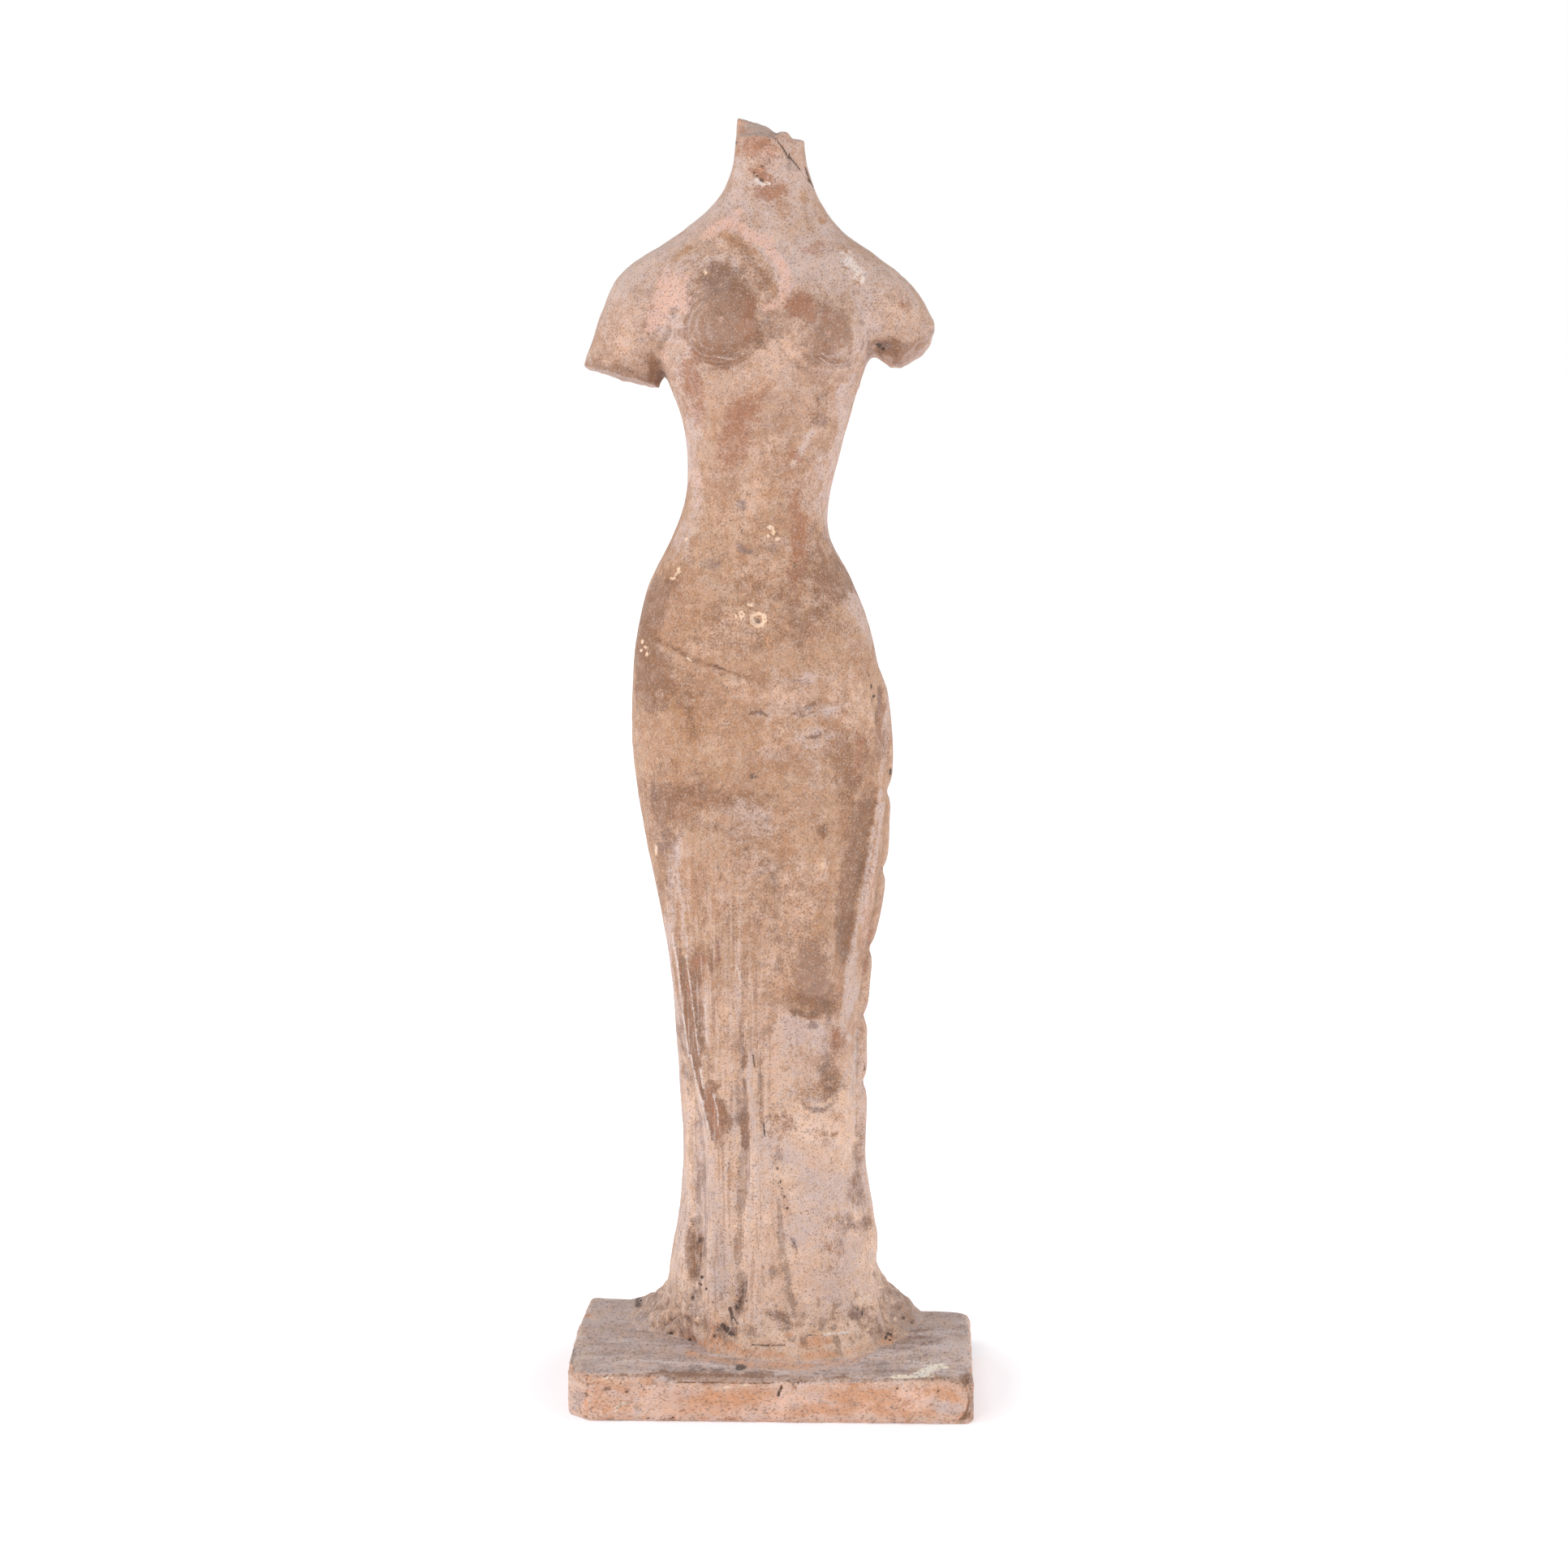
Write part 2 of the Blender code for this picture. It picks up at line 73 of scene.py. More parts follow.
LUTING_FEATHER = 0.0005
LUTING_EDGE_MARGIN = 0.0015
LUTING_SINKS_IN = 0.0008

# Outlines of the body: (height, distance from the axis)
LEFT_OUTLINE = (
    (0, 91), (52, 89), (103, 81), (150, 77), (205, 79), (262, 83), (326, 87), (377, 97),
    (437, 110), (496, 117), (545, 117), (594, 112), (631, 102), (666, 84), (693, 74),
    (722, 71), (762, 76), (792, 87), (824, 100), (856, 112), (878, 116), (890, 111),
    (899, 95), (915, 71), (930, 53), (946, 41), (966, 34), (1000, 31),
)
RIGHT_OUTLINE = (
    (0, 85), (52, 84), (103, 76), (150, 70), (205, 71), (262, 71), (326, 76), (377, 85),
    (437, 89), (496, 91), (545, 86), (594, 76), (631, 62), (666, 44), (693, 43),
    (722, 49), (762, 60), (792, 69), (824, 80), (856, 90), (878, 91), (890, 84),
    (899, 71), (915, 50), (930, 39), (946, 31), (966, 25), (1000, 22),
)
FRONT_OUTLINE = (
    (0, 65), (50, 61), (110, 56), (160, 54), (260, 56), (300, 58), (380, 60), (470, 62),
    (550, 61), (610, 57), (660, 51), (700, 48), (760, 50), (820, 54), (865, 51),
    (895, 42), (920, 32), (945, 27), (1000, 28),
)
BACK_OUTLINE = (
    (0, 62), (60, 61), (150, 60), (260, 58), (350, 57), (440, 61), (510, 66), (560, 69),
    (600, 67), (640, 58), (690, 46), (730, 45), (790, 50), (850, 54), (890, 50),
    (920, 41), (950, 32), (1000, 29),
)
SQUARENESS = (
    (0, 2.5), (300, 2.5), (560, 2.35), (700, 2.3), (840, 2.5), (900, 2.2), (950, 2.0), (1000, 2.0),
)
HEM_BACK = BACK_OUTLINE[0][1] * THOUSANDTH
FIGURE_AXIS_Y = (PLINTH_DEPTH - PLINTH_SHORT_SIDE_CUT) / 2 - HEM_TO_SLAB_BACK - HEM_BACK

# Large carving, as in the frame or a little lower: x to the right of the axis, z above the bed
SWELLING_FULLNESS = 1.3
BREASTS = ((-43, 840), (43, 829))
BREAST_WIDTH = 40
BREAST_RISE = 48
BREAST_DROP = 31
BREAST_RELIEF = 16
NAVEL = (-14, 604)
NAVEL_SIZE = 9
NAVEL_DEPTH = 5
BELLY = (-13, 597)
BELLY_SIZE = 62
BELLY_RELIEF = 5
GARMENT_EDGE = ((-113, 594), (-67, 573), (-15, 558), (41, 563), (88, 569))
GARMENT_STEP = 1.2
GARMENT_STEP_RUN = 4
GARMENT_STEP_FADE = 90
THIGH_LINE = ((26, 479), (32, 392), (32, 315))
THIGH_WIDTH = 36
THIGH_RELIEF = 8
KNEE = (33, 312)
KNEE_WIDTH = 30
KNEE_RISE = 52
KNEE_DROP = 24
KNEE_RELIEF = 11
SHIN_HOLLOW = (45, 238)
SHIN_HOLLOW_SIZE = 26
SHIN_HOLLOW_DEPTH = 3
STANDING_LEG_LINE = ((-47, 479), (-39, 342), (-34, 233))
STANDING_LEG_WIDTH = 34
STANDING_LEG_RELIEF = 4
FOLD_FADE = 0.18
FOLD_WEAR = 0.5
SIDE_FADE = 0.55
HANGING_FOLDS = (
    (((-93, 398), (-76, 308), (-62, 243), (-46, 191), (-43, 134)), 7, 6),
    (((-104, 404), (-84, 306), (-71, 242), (-57, 190), (-51, 115), (-50, 20)), 6, 8),
    (((-82, 297), (-70, 230), (-58, 172), (-64, 109), (-62, 34)), 7, -8),
    (((-19, 249), (-15, 180), (-12, 107), (-9, 20)), 7, 6),
    (((-28, 233), (-25, 163), (-29, 94), (-30, 20)), 7, -6),
    (((5, 164), (7, 94), (14, 47), (15, 18)), 7, -6),
    (((41, 123), (39, 77), (38, 20)), 15, 5),
    (((93, 482), (77, 387), (58, 306), (55, 250), (57, 181)), 6, 8),
    (((80, 475), (64, 387), (45, 312), (43, 260)), 6, -5),
    (((84, 334), (72, 253), (68, 164), (66, 71)), 7, -3),
)
CAUGHT_FOLDS = (
    (((22, 218), (36, 200), (53, 203), (64, 229)), 6, 6),
    (((12, 191), (31, 177), (53, 171)), 8, 3),
)
BUTTOCKS = ((-48, 566), (36, 562))
BUTTOCK_WIDTH = 44
BUTTOCK_RISE = 60
BUTTOCK_DROP = 64
BUTTOCK_RELIEF = 7
SPINE_X = -10
SPINE_WIDTH = 10
SPINE_DEPTH = 5
SPINE_SPAN = (620, 880)
SPINE_FADE = 50
BACK_FOLD_COUNT = 4
BACK_FOLD_RELIEF = 2.5
BACK_FOLD_TOP = 520
BACK_FOLD_FADE = 160
SEAM_SPAN = (55, 566)
SEAM_FADE = 28
SEAM_RELIEF = 5
SEAM_EDGE = 0.93
SEAM_CHIPS = (326, 268, 212, 392, 458)
SEAM_CHIP_LENGTH = 7
SEAM_CHIP_LOSS = 0.8
LUTING_SPREAD = (
    (0, 34), (40, 51), (75, 22), (105, 28), (135, 64), (158, 62), (178, 26), (195, -3),
    (212, -10), (232, -5), (250, 8), (270, 26), (300, 26), (330, 16), (345, 21), (360, 34),
)
LUTING_HOLLOW = (
    (0, 1.4), (50, 1.3), (110, 1.8), (160, 2.6), (225, 2.6), (270, 2.6), (330, 1.8), (360, 1.4),
)
LUTING_WAVES = ((5, 2.6), (11, 2.2), (23, 1.6), (41, 0.9))
LEFT_ARM = (
    (-48, 858, 28, 34, 80), (-84, 861, 36, 40, 68), (-104, 845, 38, 39, 54), (-113, 826, 35, 34, 39),
    (-119, 811, 32, 30, 26), (-124, 798, 32, 28, 16), (-129, 775, 31, 27, 12),
)
RIGHT_ARM = (
    (36, 858, 28, 34, -80), (72, 857, 33, 40, -64), (88, 846, 32, 37, -58), (99, 835, 30, 33, -51),
    (110, 821, 26, 29, -48), (122, 809, 25, 27, -46),
)
ARM_AXIS_BACK = 2
LEFT_ARM_BREAK = ((-124, 794), (-0.27, -0.13, -1.0))
RIGHT_ARM_BREAK = ((112, 821), (0.75, 0.10, -0.66))

# The neck's broken top: (x, z) along its back edge and along its front edge
NECK_TOP = 1004
NECK_BACK_EDGE = (
    (-32, 1001.5), (-26, 1000.5), (-20, 998), (-13, 996.5), (-7, 994), (-2, 990.5), (1, 989), (4, 991),
    (7, 990.5), (10, 989), (12, 985.5), (14, 984.5), (22, 984),
)
NECK_FRONT_EDGE = (
    (-31, 985), (-28, 987), (-17, 988), (-7, 987), (-2, 986), (2, 987), (7, 990), (10, 990),
    (14, 985), (22, 984),
)
NECK_MIDDLE = -4.5
NECK_HALF_WIDTH = 26.5
NECK_HALF_DEPTH = 28.5
NECK_BREAK_SPAN = (0.03, 0.5)
NECK_BREAK_MARGIN = 4.0
NECK_BREAK_FROM = 900
# Roughness of the neck's break: (size of the lumps, height, shift)
NECK_BREAK_LUMPS = ((5.0, 0.9, 0.0), (2.2, 0.54, 9.0))

# Where the arms grow out of the body, and the rounded stump of the right one
SHOULDER_SMOOTHING = 90
SHOULDER_INNER = 38
SHOULDER_ACROSS = (-112, 104)
SHOULDER_HEIGHTS = (770, 915)
STUMP_SMOOTHING = 12
STUMP_CROWN = 0.0022
STUMP_RADIUS = 0.0060
STUMP_ROUNDING = 0.0005
STUMP_SKIN = 0.001
STUMP_DEPTH = 0.005
STUMP_REACH = 1.3
BREAK_NEAR = (0.0024, 0.0032)
BREAK_FACING = (0.55, 0.85)
BREAK_REACH = 0.013

# Mesh density
BODY_SEGMENTS = 200
BODY_RINGS = 230
LUTING_RINGS = 40
LUTING_RINGS_TOP = 1.2
NECK_RINGS = 24
NECK_RINGS_FROM = 980
FRONT_CROWDING = 0.28
CAP_INSETS = 9
ARM_SEGMENTS = 72
ARM_RINGS = 36
SKIN_VOXEL = 0.00036
SLAB_VOXEL = 0.00044
EVEN_TRIANGLES = 182000
THINNED_TRIANGLES = 128000
BACK_FACING = 0.1
# Pixels around fine lines and spots that each round of splitting takes in, and what counts as fine
FINE_REACHES = (4.5, 3.2)
FINE_LINE_MM = 0.4
FINE_SPOT_PIXELS = 9
FINE_STREAKS = ("hole", "cream", "white")
FINE_STAINS = ("cream", "hole")

# Carved lines hold their depth in part and waver for the rest, in waves of so many mm
LINE_HOLDS = 0.75
LINE_WAVERS = 0.6
LINE_WAVER_SIZE = 3.0
LINE_WAVER_SHIFT = 13.0
LINE_REACH = 2.6
# Lines on the figure: (pixels of the photograph, half-width mm, height mm, negative where cut in,
# then any finish along the line: its name, half-width in pixels, strength)
FIGURE_LINES = (
    # the neck's cracks
    (((913, 166), (930, 164), (946, 166), (952, 167), (958, 172)), 0.3, -0.2),
    (((956, 171), (970, 190), (980, 202), (985, 209)), 0.12, -0.3),
    (((985, 209), (998, 226)), 0.12, -0.1, ("hole", 0.7, 0.4)),
    (((990, 205), (995, 219), (1002, 233)), 0.15, -0.25),
    (((904, 177), (912, 173), (930, 168), (946, 169), (956, 173)), 0.35, 0.12),
    # under the breasts
    (((848, 426), (876, 441), (907, 456)), 0.25, -0.1, ("bloom", 1.5, 0.7)),
    (((881, 437), (895, 442), (907, 441)), 0.4, 0.16),
    (((1005, 433), (1018, 444), (1031, 450)), 0.4, 0.2),
    (((1008, 446), (1024, 453)), 0.35, -0.12),
    (((999, 535), (988, 555), (975, 573), (959, 580)), 0.8, 0.22),
    # armpits
    (((830, 385), (820, 410), (812, 435), (812, 465)), 1.3, -0.35),
    (((1062, 400), (1068, 425), (1072, 443)), 1.1, -0.3),
    # the garment's edge and the wrinkles under it
    (((805, 784), (825, 795), (838, 803), (854, 813), (867, 818), (885, 823)), 0.3, -0.12),
    (((876, 819), (884, 822), (893, 825)), 0.3, -0.25),
    (((893, 825), (908, 831), (928, 839)), 0.3, -0.06, ("brown", 2.5, 0.45)),
    (((925, 879), (934, 877), (944, 881)), 0.35, -0.2),
    (((976, 879), (988, 872), (1004, 867)), 0.4, -0.22),
    (((981, 884), (996, 881), (1008, 874)), 0.35, -0.16),
    (((988, 908), (1002, 909), (1017, 902)), 0.45, -0.26),
    (((992, 900), (1006, 896), (1018, 889)), 0.35, -0.16),
    (((894, 875), (960, 880), (1050, 869)), 0.5, 0.12),
    (((956, 922), (1000, 921), (1046, 913)), 0.5, 0.12),
    (((1050, 884), (1043, 911), (1048, 935)), 0.5, -0.12),
    (((1071, 812), (1069, 835), (1076, 862)), 0.35, -0.3),
    (((1076, 862), (1084, 900), (1092, 935), (1096, 955)), 0.5, -0.25),
    (((889, 1039), (906, 1048), (931, 1045)), 0.5, -0.12),
    # the thighs
    # the bloom along these two ridges is the clay's bloom and a painted highlight
    (((1085, 976), (1075, 1031), (1060, 1119), (1045, 1193)), 0.6, 0.2, ("bloom", 2.8, 0.9)),
    (((1088, 990), (1078, 1060), (1062, 1136)), 0.4, 0.2, ("bloom", 2.5, 0.9)),
    (((854, 1056), (864, 1126)), 0.3, -0.08, ("smudge", 1.3, 0.45)),
    (((881, 1048), (888, 1086)), 0.3, -0.08, ("smudge", 1.3, 0.45)),
    (((885, 1160), (887, 1199)), 0.3, -0.08, ("smudge", 1.3, 0.5)),
    (((904, 1151), (913, 1208)), 0.3, -0.08, ("smudge", 1.3, 0.4)),
    (((997, 1099), (1022, 1097)), 0.25, -0.1),
    # the knee and the caught cloth below it
    (((980, 1247), (994, 1252), (1006, 1249), (1014, 1235), (1025, 1217)), 0.8, -0.3),
    (((1046, 1185), (1041, 1228), (1037, 1263), (1041, 1275), (1049, 1280)), 0.5, 0.2, ("bloom", 3, 1.0)),
    (((1052, 1223), (1044, 1251)), 0.4, 0.2, ("bloom", 2.5, 1.0)),
    (((1043, 1319), (1033, 1345), (1012, 1356), (994, 1355)), 0.8, 0.22, ("bloom", 3, 0.8)),
    (((991, 1361), (1000, 1367), (1012, 1369), (1027, 1359)), 0.5, -0.3, ("smudge", 3, 0.4)),
    (((959, 1262), (978, 1292)), 0.3, -0.1),
    (((982, 1258), (984, 1270)), 0.3, -0.1),
    # the folds
    (((826, 1183), (831, 1234), (836, 1290), (840, 1345)), 0.4, 0.14),
    (((828, 1150), (835, 1191), (839, 1226), (842, 1254), (845, 1274),
      (848, 1302)), 0.3, 0.24, ("white", 1.2, 0.7)),
    (((840, 1180), (845, 1226), (849, 1269), (854, 1302), (861, 1326), (867, 1353)), 0.4, -0.34),
    (((845, 1177), (851, 1217), (855, 1249), (858, 1277), (861, 1300)), 0.25, 0.22, ("white", 1.0, 0.6)),
    (((851, 1300), (858, 1334), (866, 1363), (870, 1378), (875, 1400)), 0.3, 0.3, ("white", 1.3, 0.7)),
    (((863, 1318), (866, 1340)), 0.25, 0.2, ("white", 1.1, 0.8)),
    (((869, 1234), (871, 1283)), 0.25, 0.14, ("white", 1.1, 0.5)),
    (((879, 1349), (884, 1369), (885, 1386)), 0.25, 0.2, ("white", 1.1, 0.6)),
    (((872, 1345), (878, 1380), (880, 1405)), 0.5, -0.15),
    (((878, 1345), (886, 1404)), 0.5, -0.15),
    (((853, 1364), (857, 1498)), 0.5, 0.15),
    (((865, 1418), (866, 1513)), 0.5, 0.2),
    (((912, 1245), (917, 1313)), 0.6, -0.15, ("brown", 4, 0.8)),
    (((925, 1299), (922, 1332), (928, 1361), (930, 1406)), 0.55, 0.28, ("bloom", 3.5, 0.8)),
    (((928, 1300), (931, 1320)), 0.25, -0.2),
    (((918, 1330), (920, 1415)), 0.4, -0.15, ("brown", 3, 0.6)),
    (((936, 1320), (938, 1400)), 0.5, -0.12),
    (((958, 1418), (953, 1442), (963, 1466), (972, 1492)), 0.5, -0.14, ("brown", 7, 0.3)),
    (((899, 1430), (889, 1461), (885, 1475)), 0.3, 0.14, ("bloom", 1.8, 0.9)),
    (((973, 1522), (988, 1588)), 0.6, -0.15),
    # the hem's recesses and cracks
    (((858, 1505), (856, 1540), (857, 1590)), 1.3, -0.6),
    (((838, 1490), (838, 1575)), 0.9, 0.3),
    (((869, 1545), (869, 1600)), 0.6, 0.3),
    (((915, 1575), (914, 1600), (917, 1619)), 1.0, -0.6),
    (((902, 1612), (902, 1631)), 0.3, -0.5),
    (((820, 1633), (830, 1625), (840, 1619)), 0.3, -0.4, ("hole", 0.8, 0.5)),
    (((927, 1657), (946, 1658), (967, 1657)), 0.22, -0.4),
    (((1017, 1643), (1046, 1642)), 0.5, 0.2),
    (((1080, 1570), (1096, 1596), (1112, 1622)), 0.9, -0.35),
)
# Pits and knobs on the figure: (u, v, radius mm, height mm)
FIGURE_SPOTS = (
    (938, 214, 1.7, -0.55), (938, 222, 0.5, -0.45), (890, 395, 1.1, 0.28), (1020, 412, 1.0, 0.26),
    (1085, 427, 0.9, -0.5), (934, 764, 1.6, 0.14), (934, 765, 0.6, -0.12),
    (914, 757, 0.7, 0.1), (953, 658, 1.1, 0.1), (928, 957, 0.8, -0.3), (1016, 1023, 1.3, -0.3),
    (1001, 1263, 0.6, -0.25), (865, 1573, 0.5, -0.5), (863, 1528, 0.5, -0.5), (853, 1600, 0.5, -0.5),
    (910, 1609, 0.8, -0.5), (896, 1638, 0.9, -0.6), (881, 1647, 0.5, -0.4), (850, 1652, 0.5, -0.4),
    (828, 1644, 0.6, -0.6), (787, 1603, 0.8, -0.8), (1094, 1643, 0.6, -0.5), (1086, 1640, 0.4, -0.4),
    (1101, 1648, 0.4, -0.4), (1113, 1624, 0.5, -0.4), (1124, 1629, 0.5, -0.4), (953, 1568, 1.4, -0.2),
    (1097, 951, 0.7, -0.4), (1075, 1163, 0.8, -0.6), (1066, 1250, 0.7, -0.4), (1092, 1070, 0.9, -0.4),
    (1065, 1317, 0.6, -0.3), (1061, 1268, 0.5, -0.3), (915, 1276, 0.3, -0.2), (805, 1632, 0.6, -0.4),
    (812, 1612, 0.9, -0.4), (1024, 1330, 2.0, -0.15), (1036, 1282, 1.4, -0.15), (961, 1628, 1.6, -0.3),
    (800, 1600, 1.2, 0.4), (822, 1590, 1.0, -0.4), (842, 1618, 0.9, 0.3), (1106, 1600, 1.1, 0.4),
    (1090, 1610, 0.8, -0.4), (1120, 1612, 0.8, 0.4), (1070, 1655, 0.8, 0.3), (875, 1660, 0.8, 0.3),
)
SLAB_LINES = (
    (((963, 1708), (961, 1714), (958, 1721)), 0.26, -0.9, ("hole", 1.8, 1.0)),
    (((786, 1701), (790, 1707), (796, 1714)), 0.35, -0.4, ("hole", 1.2, 0.6)),
    (((757, 1738), (765, 1730), (778, 1727)), 0.3, -0.3, ("chalk", 1.1, 0.8)),
    (((723, 1696), (725, 1710), (722, 1722), (723, 1744)), 0.4, -0.35),
    (((1181, 1703), (1190, 1709), (1195, 1720), (1194, 1734), (1186, 1748)), 0.5, -0.4),
    (((834, 1703), (880, 1704), (955, 1704)), 0.4, -0.25),
    (((742, 1700), (757, 1697)), 0.3, -0.12),
    (((751, 1707), (774, 1701)), 0.3, -0.12, ("chalk", 0.9, 0.5)),
    (((893, 1712), (940, 1716)), 0.4, -0.1, ("bloom", 3, 0.7)),
    (((1010, 1728), (1060, 1731)), 0.5, -0.12, ("bloom", 3, 0.6)),
)
SLAB_SPOTS = (
    (913, 1684, 0.5, -0.3), (722, 1717, 0.5, -0.3), (773, 1714, 0.5, -0.3), (748, 1711, 0.6, -0.12),
    (979, 1707, 0.9, -0.7), (1106, 1707, 0.7, -0.5), (786, 1736, 0.9, -0.25), (705, 1666, 1.2, -0.5),
    (723, 1620, 1.0, -0.4), (703, 1685, 1.2, -0.6), (777, 1750, 0.7, -0.7), (795, 1751, 0.9, -0.5),
    (829, 1752, 0.8, -0.8), (867, 1754, 1.0, -0.4), (905, 1755, 0.8, -0.5), (947, 1753, 1.0, -0.8),
    (990, 1755, 0.8, -0.4), (1024, 1754, 0.9, -0.6), (1060, 1756, 0.8, -0.5), (1101, 1755, 0.8, -0.9),
    (1135, 1757, 0.8, -0.4), (1165, 1757, 0.9, -0.5), (1198, 1699, 2.2, -1.1), (1190, 1702, 1.2, -0.4),
    (870, 1706, 1.0, -0.3), (1052, 1706, 0.9, -0.3), (806, 1700, 0.9, -0.4), (1196, 1751, 2.2, -1.1),
    (702, 1742, 2.2, -0.9), (1190, 1640, 0.9, -0.3), (709, 1650, 0.8, -0.3), (1197, 1670, 0.9, -0.3),
)
# Where the slab's grey top ends along its front
TOP_FRONT_EDGE = (
    (690, 1690), (709, 1690), (742, 1694), (776, 1693), (810, 1696), (828, 1705), (832, 1705),
    (838, 1702), (879, 1704), (914, 1702), (984, 1703), (1036, 1704), (1070, 1702), (1096, 1703),
    (1122, 1700), (1179, 1700), (1195, 1704), (1210, 1706),
)
# To the left of a small step the slab's front rim is worn low
RIM_STEP_X = -0.0180
RIM_WEAR = 0.0011
RIM_WEAR_LEAST = 0.0002
RIM_WEAR_DEPTH = 0.0028
RIM_STEP_RUN = 0.0006
# How far in from each edge the slab's wear reaches
SLAB_FRONT_REACH = (0.001, 0.004)
SLAB_FOOT_REACH = 0.004
SLAB_LEFT_REACH = 0.004
SLAB_TOP_REACH = (0.0015, 0.0002)
# Sides, rims and underside by how far they face up or sideways
SLAB_SIDE_FACING = (0.2, 0.9)
SLAB_RIM_RISE = (0.25, 0.6)
SLAB_RIM_FALL = (0.75, 0.98)
UNDERSIDE_FACING = -0.9
# Brushed top: (softness in pixels, wander in pixels, size mm, shift) along the drawn front edge,
# then (from, to, wander, size mm, shift) by how far a place faces up, and where the two meet
TOP_EDGE = (1.2, 2.5, 1.5, 78.0)
TOP_FACING = (0.35, 0.85, 0.15, 2, 77.0)
TOP_EDGE_REACH = (0.004, 0.006)

# Roughness of each surface: its own shift of the noise, then (size of the lumps mm, height mm)
CLAY_LUMPS = ((9.0, 0.12), (4.0, 0.07), (1.8, 0.04), (0.9, 0.025))
ROUGHNESS = {
    "figure": (0.0, *CLAY_LUMPS),
    "slab": (80.0, *CLAY_LUMPS),
    "slab side": (90.0, (3.0, 0.16), (1.3, 0.07)),
    "slab rim": (95.0, (2.2, 0.30), (1.0, 0.18)),
    "broken face": (20.0, (2.4, 0.30), (1.1, 0.18)),
    "luting": (40.0, (4.5, 0.55), (2.0, 0.38), (1.0, 0.18)),
    "streaks": (60.0, (1.1, 0.06)),
    "crust": (70.0, (3.0, 0.20), (1.3, 0.10)),
}
NEXT_SHIFT = 7.3
SLAB_RIM_LOSS = 0.1
SLAB_MOST_PROUD = 0.12
STREAK_STRETCH = (1.0, 1.0, 12.0)
STREAK_TOP = 0.115
STREAK_FADE = 0.03
STREAK_SIDE = (-0.004, 0.003)
STREAK_SIDE_LOSS = 0.7
STREAK_TONE_SPAN = (-0.045, 0.01)
STREAK_TONE_SIDE_LOSS = 0.85
LUTING_ROUGH = (0.006, 0.013)
LUTING_FOOT = (0.0002, 0.0028)
LUTING_GRIME = (0.004, 0.010)
NECK_TOP_FACE = 0.219
NECK_TOP_FACING = (0.55, 0.8)
HOLLOW_ROUNDS = 14
HOLLOW_DEPTH = 0.1
# How squarely a place has to face the camera, from not at all to fully, for what the photograph shows
STAIN_FACING = (-0.02, 0.10)
MASK_FACING = (0.0, 0.25)
RELIEF_FACING = (0.0, 0.3)
CRUST_FACING = (0.1, 0.4)
REFINED_FACING = 0.1
# Crust on the shin: (u, v, half-width, half-height in pixels)
CRUST = (1018, 1318, 34, 60)
CRUST_EDGE = (0.5, 1.2)

# Edges of stains and streaks in parts of their radius, and how much further a soft one goes each way
COVER_EDGE = (0.8, 1.2)
COVER_SOFTENING = (0.6, 0.25)
# Sizes in pixels from which an edge is wholly soft, ragged or wandering, and the most raggedness
STAIN_REACH = 1.5
STAIN_SOFT_FROM = 14
STAIN_RAGGED_FROM = 20
STAIN_RAGGED_MOST = 0.7
STAIN_WANDERS_FROM = 16
STREAK_REACH = 2
STREAK_SOFT_FROM = 6
STREAK_RAGGED_MOST = 0.8
# Ragged edges of the stains: (size of the lumps mm, share, shift)
STAIN_RAGGED = ((4.0, 0.62, 3.0), (1.5, 0.46, 5.0))
# Large stains wander by so many pixels, in waves of so many mm
STAIN_DRIFT = 11.0
STAIN_DRIFT_SIZE = 6.0
STAIN_DRIFT_SHIFTS = (11.0, 17.0)
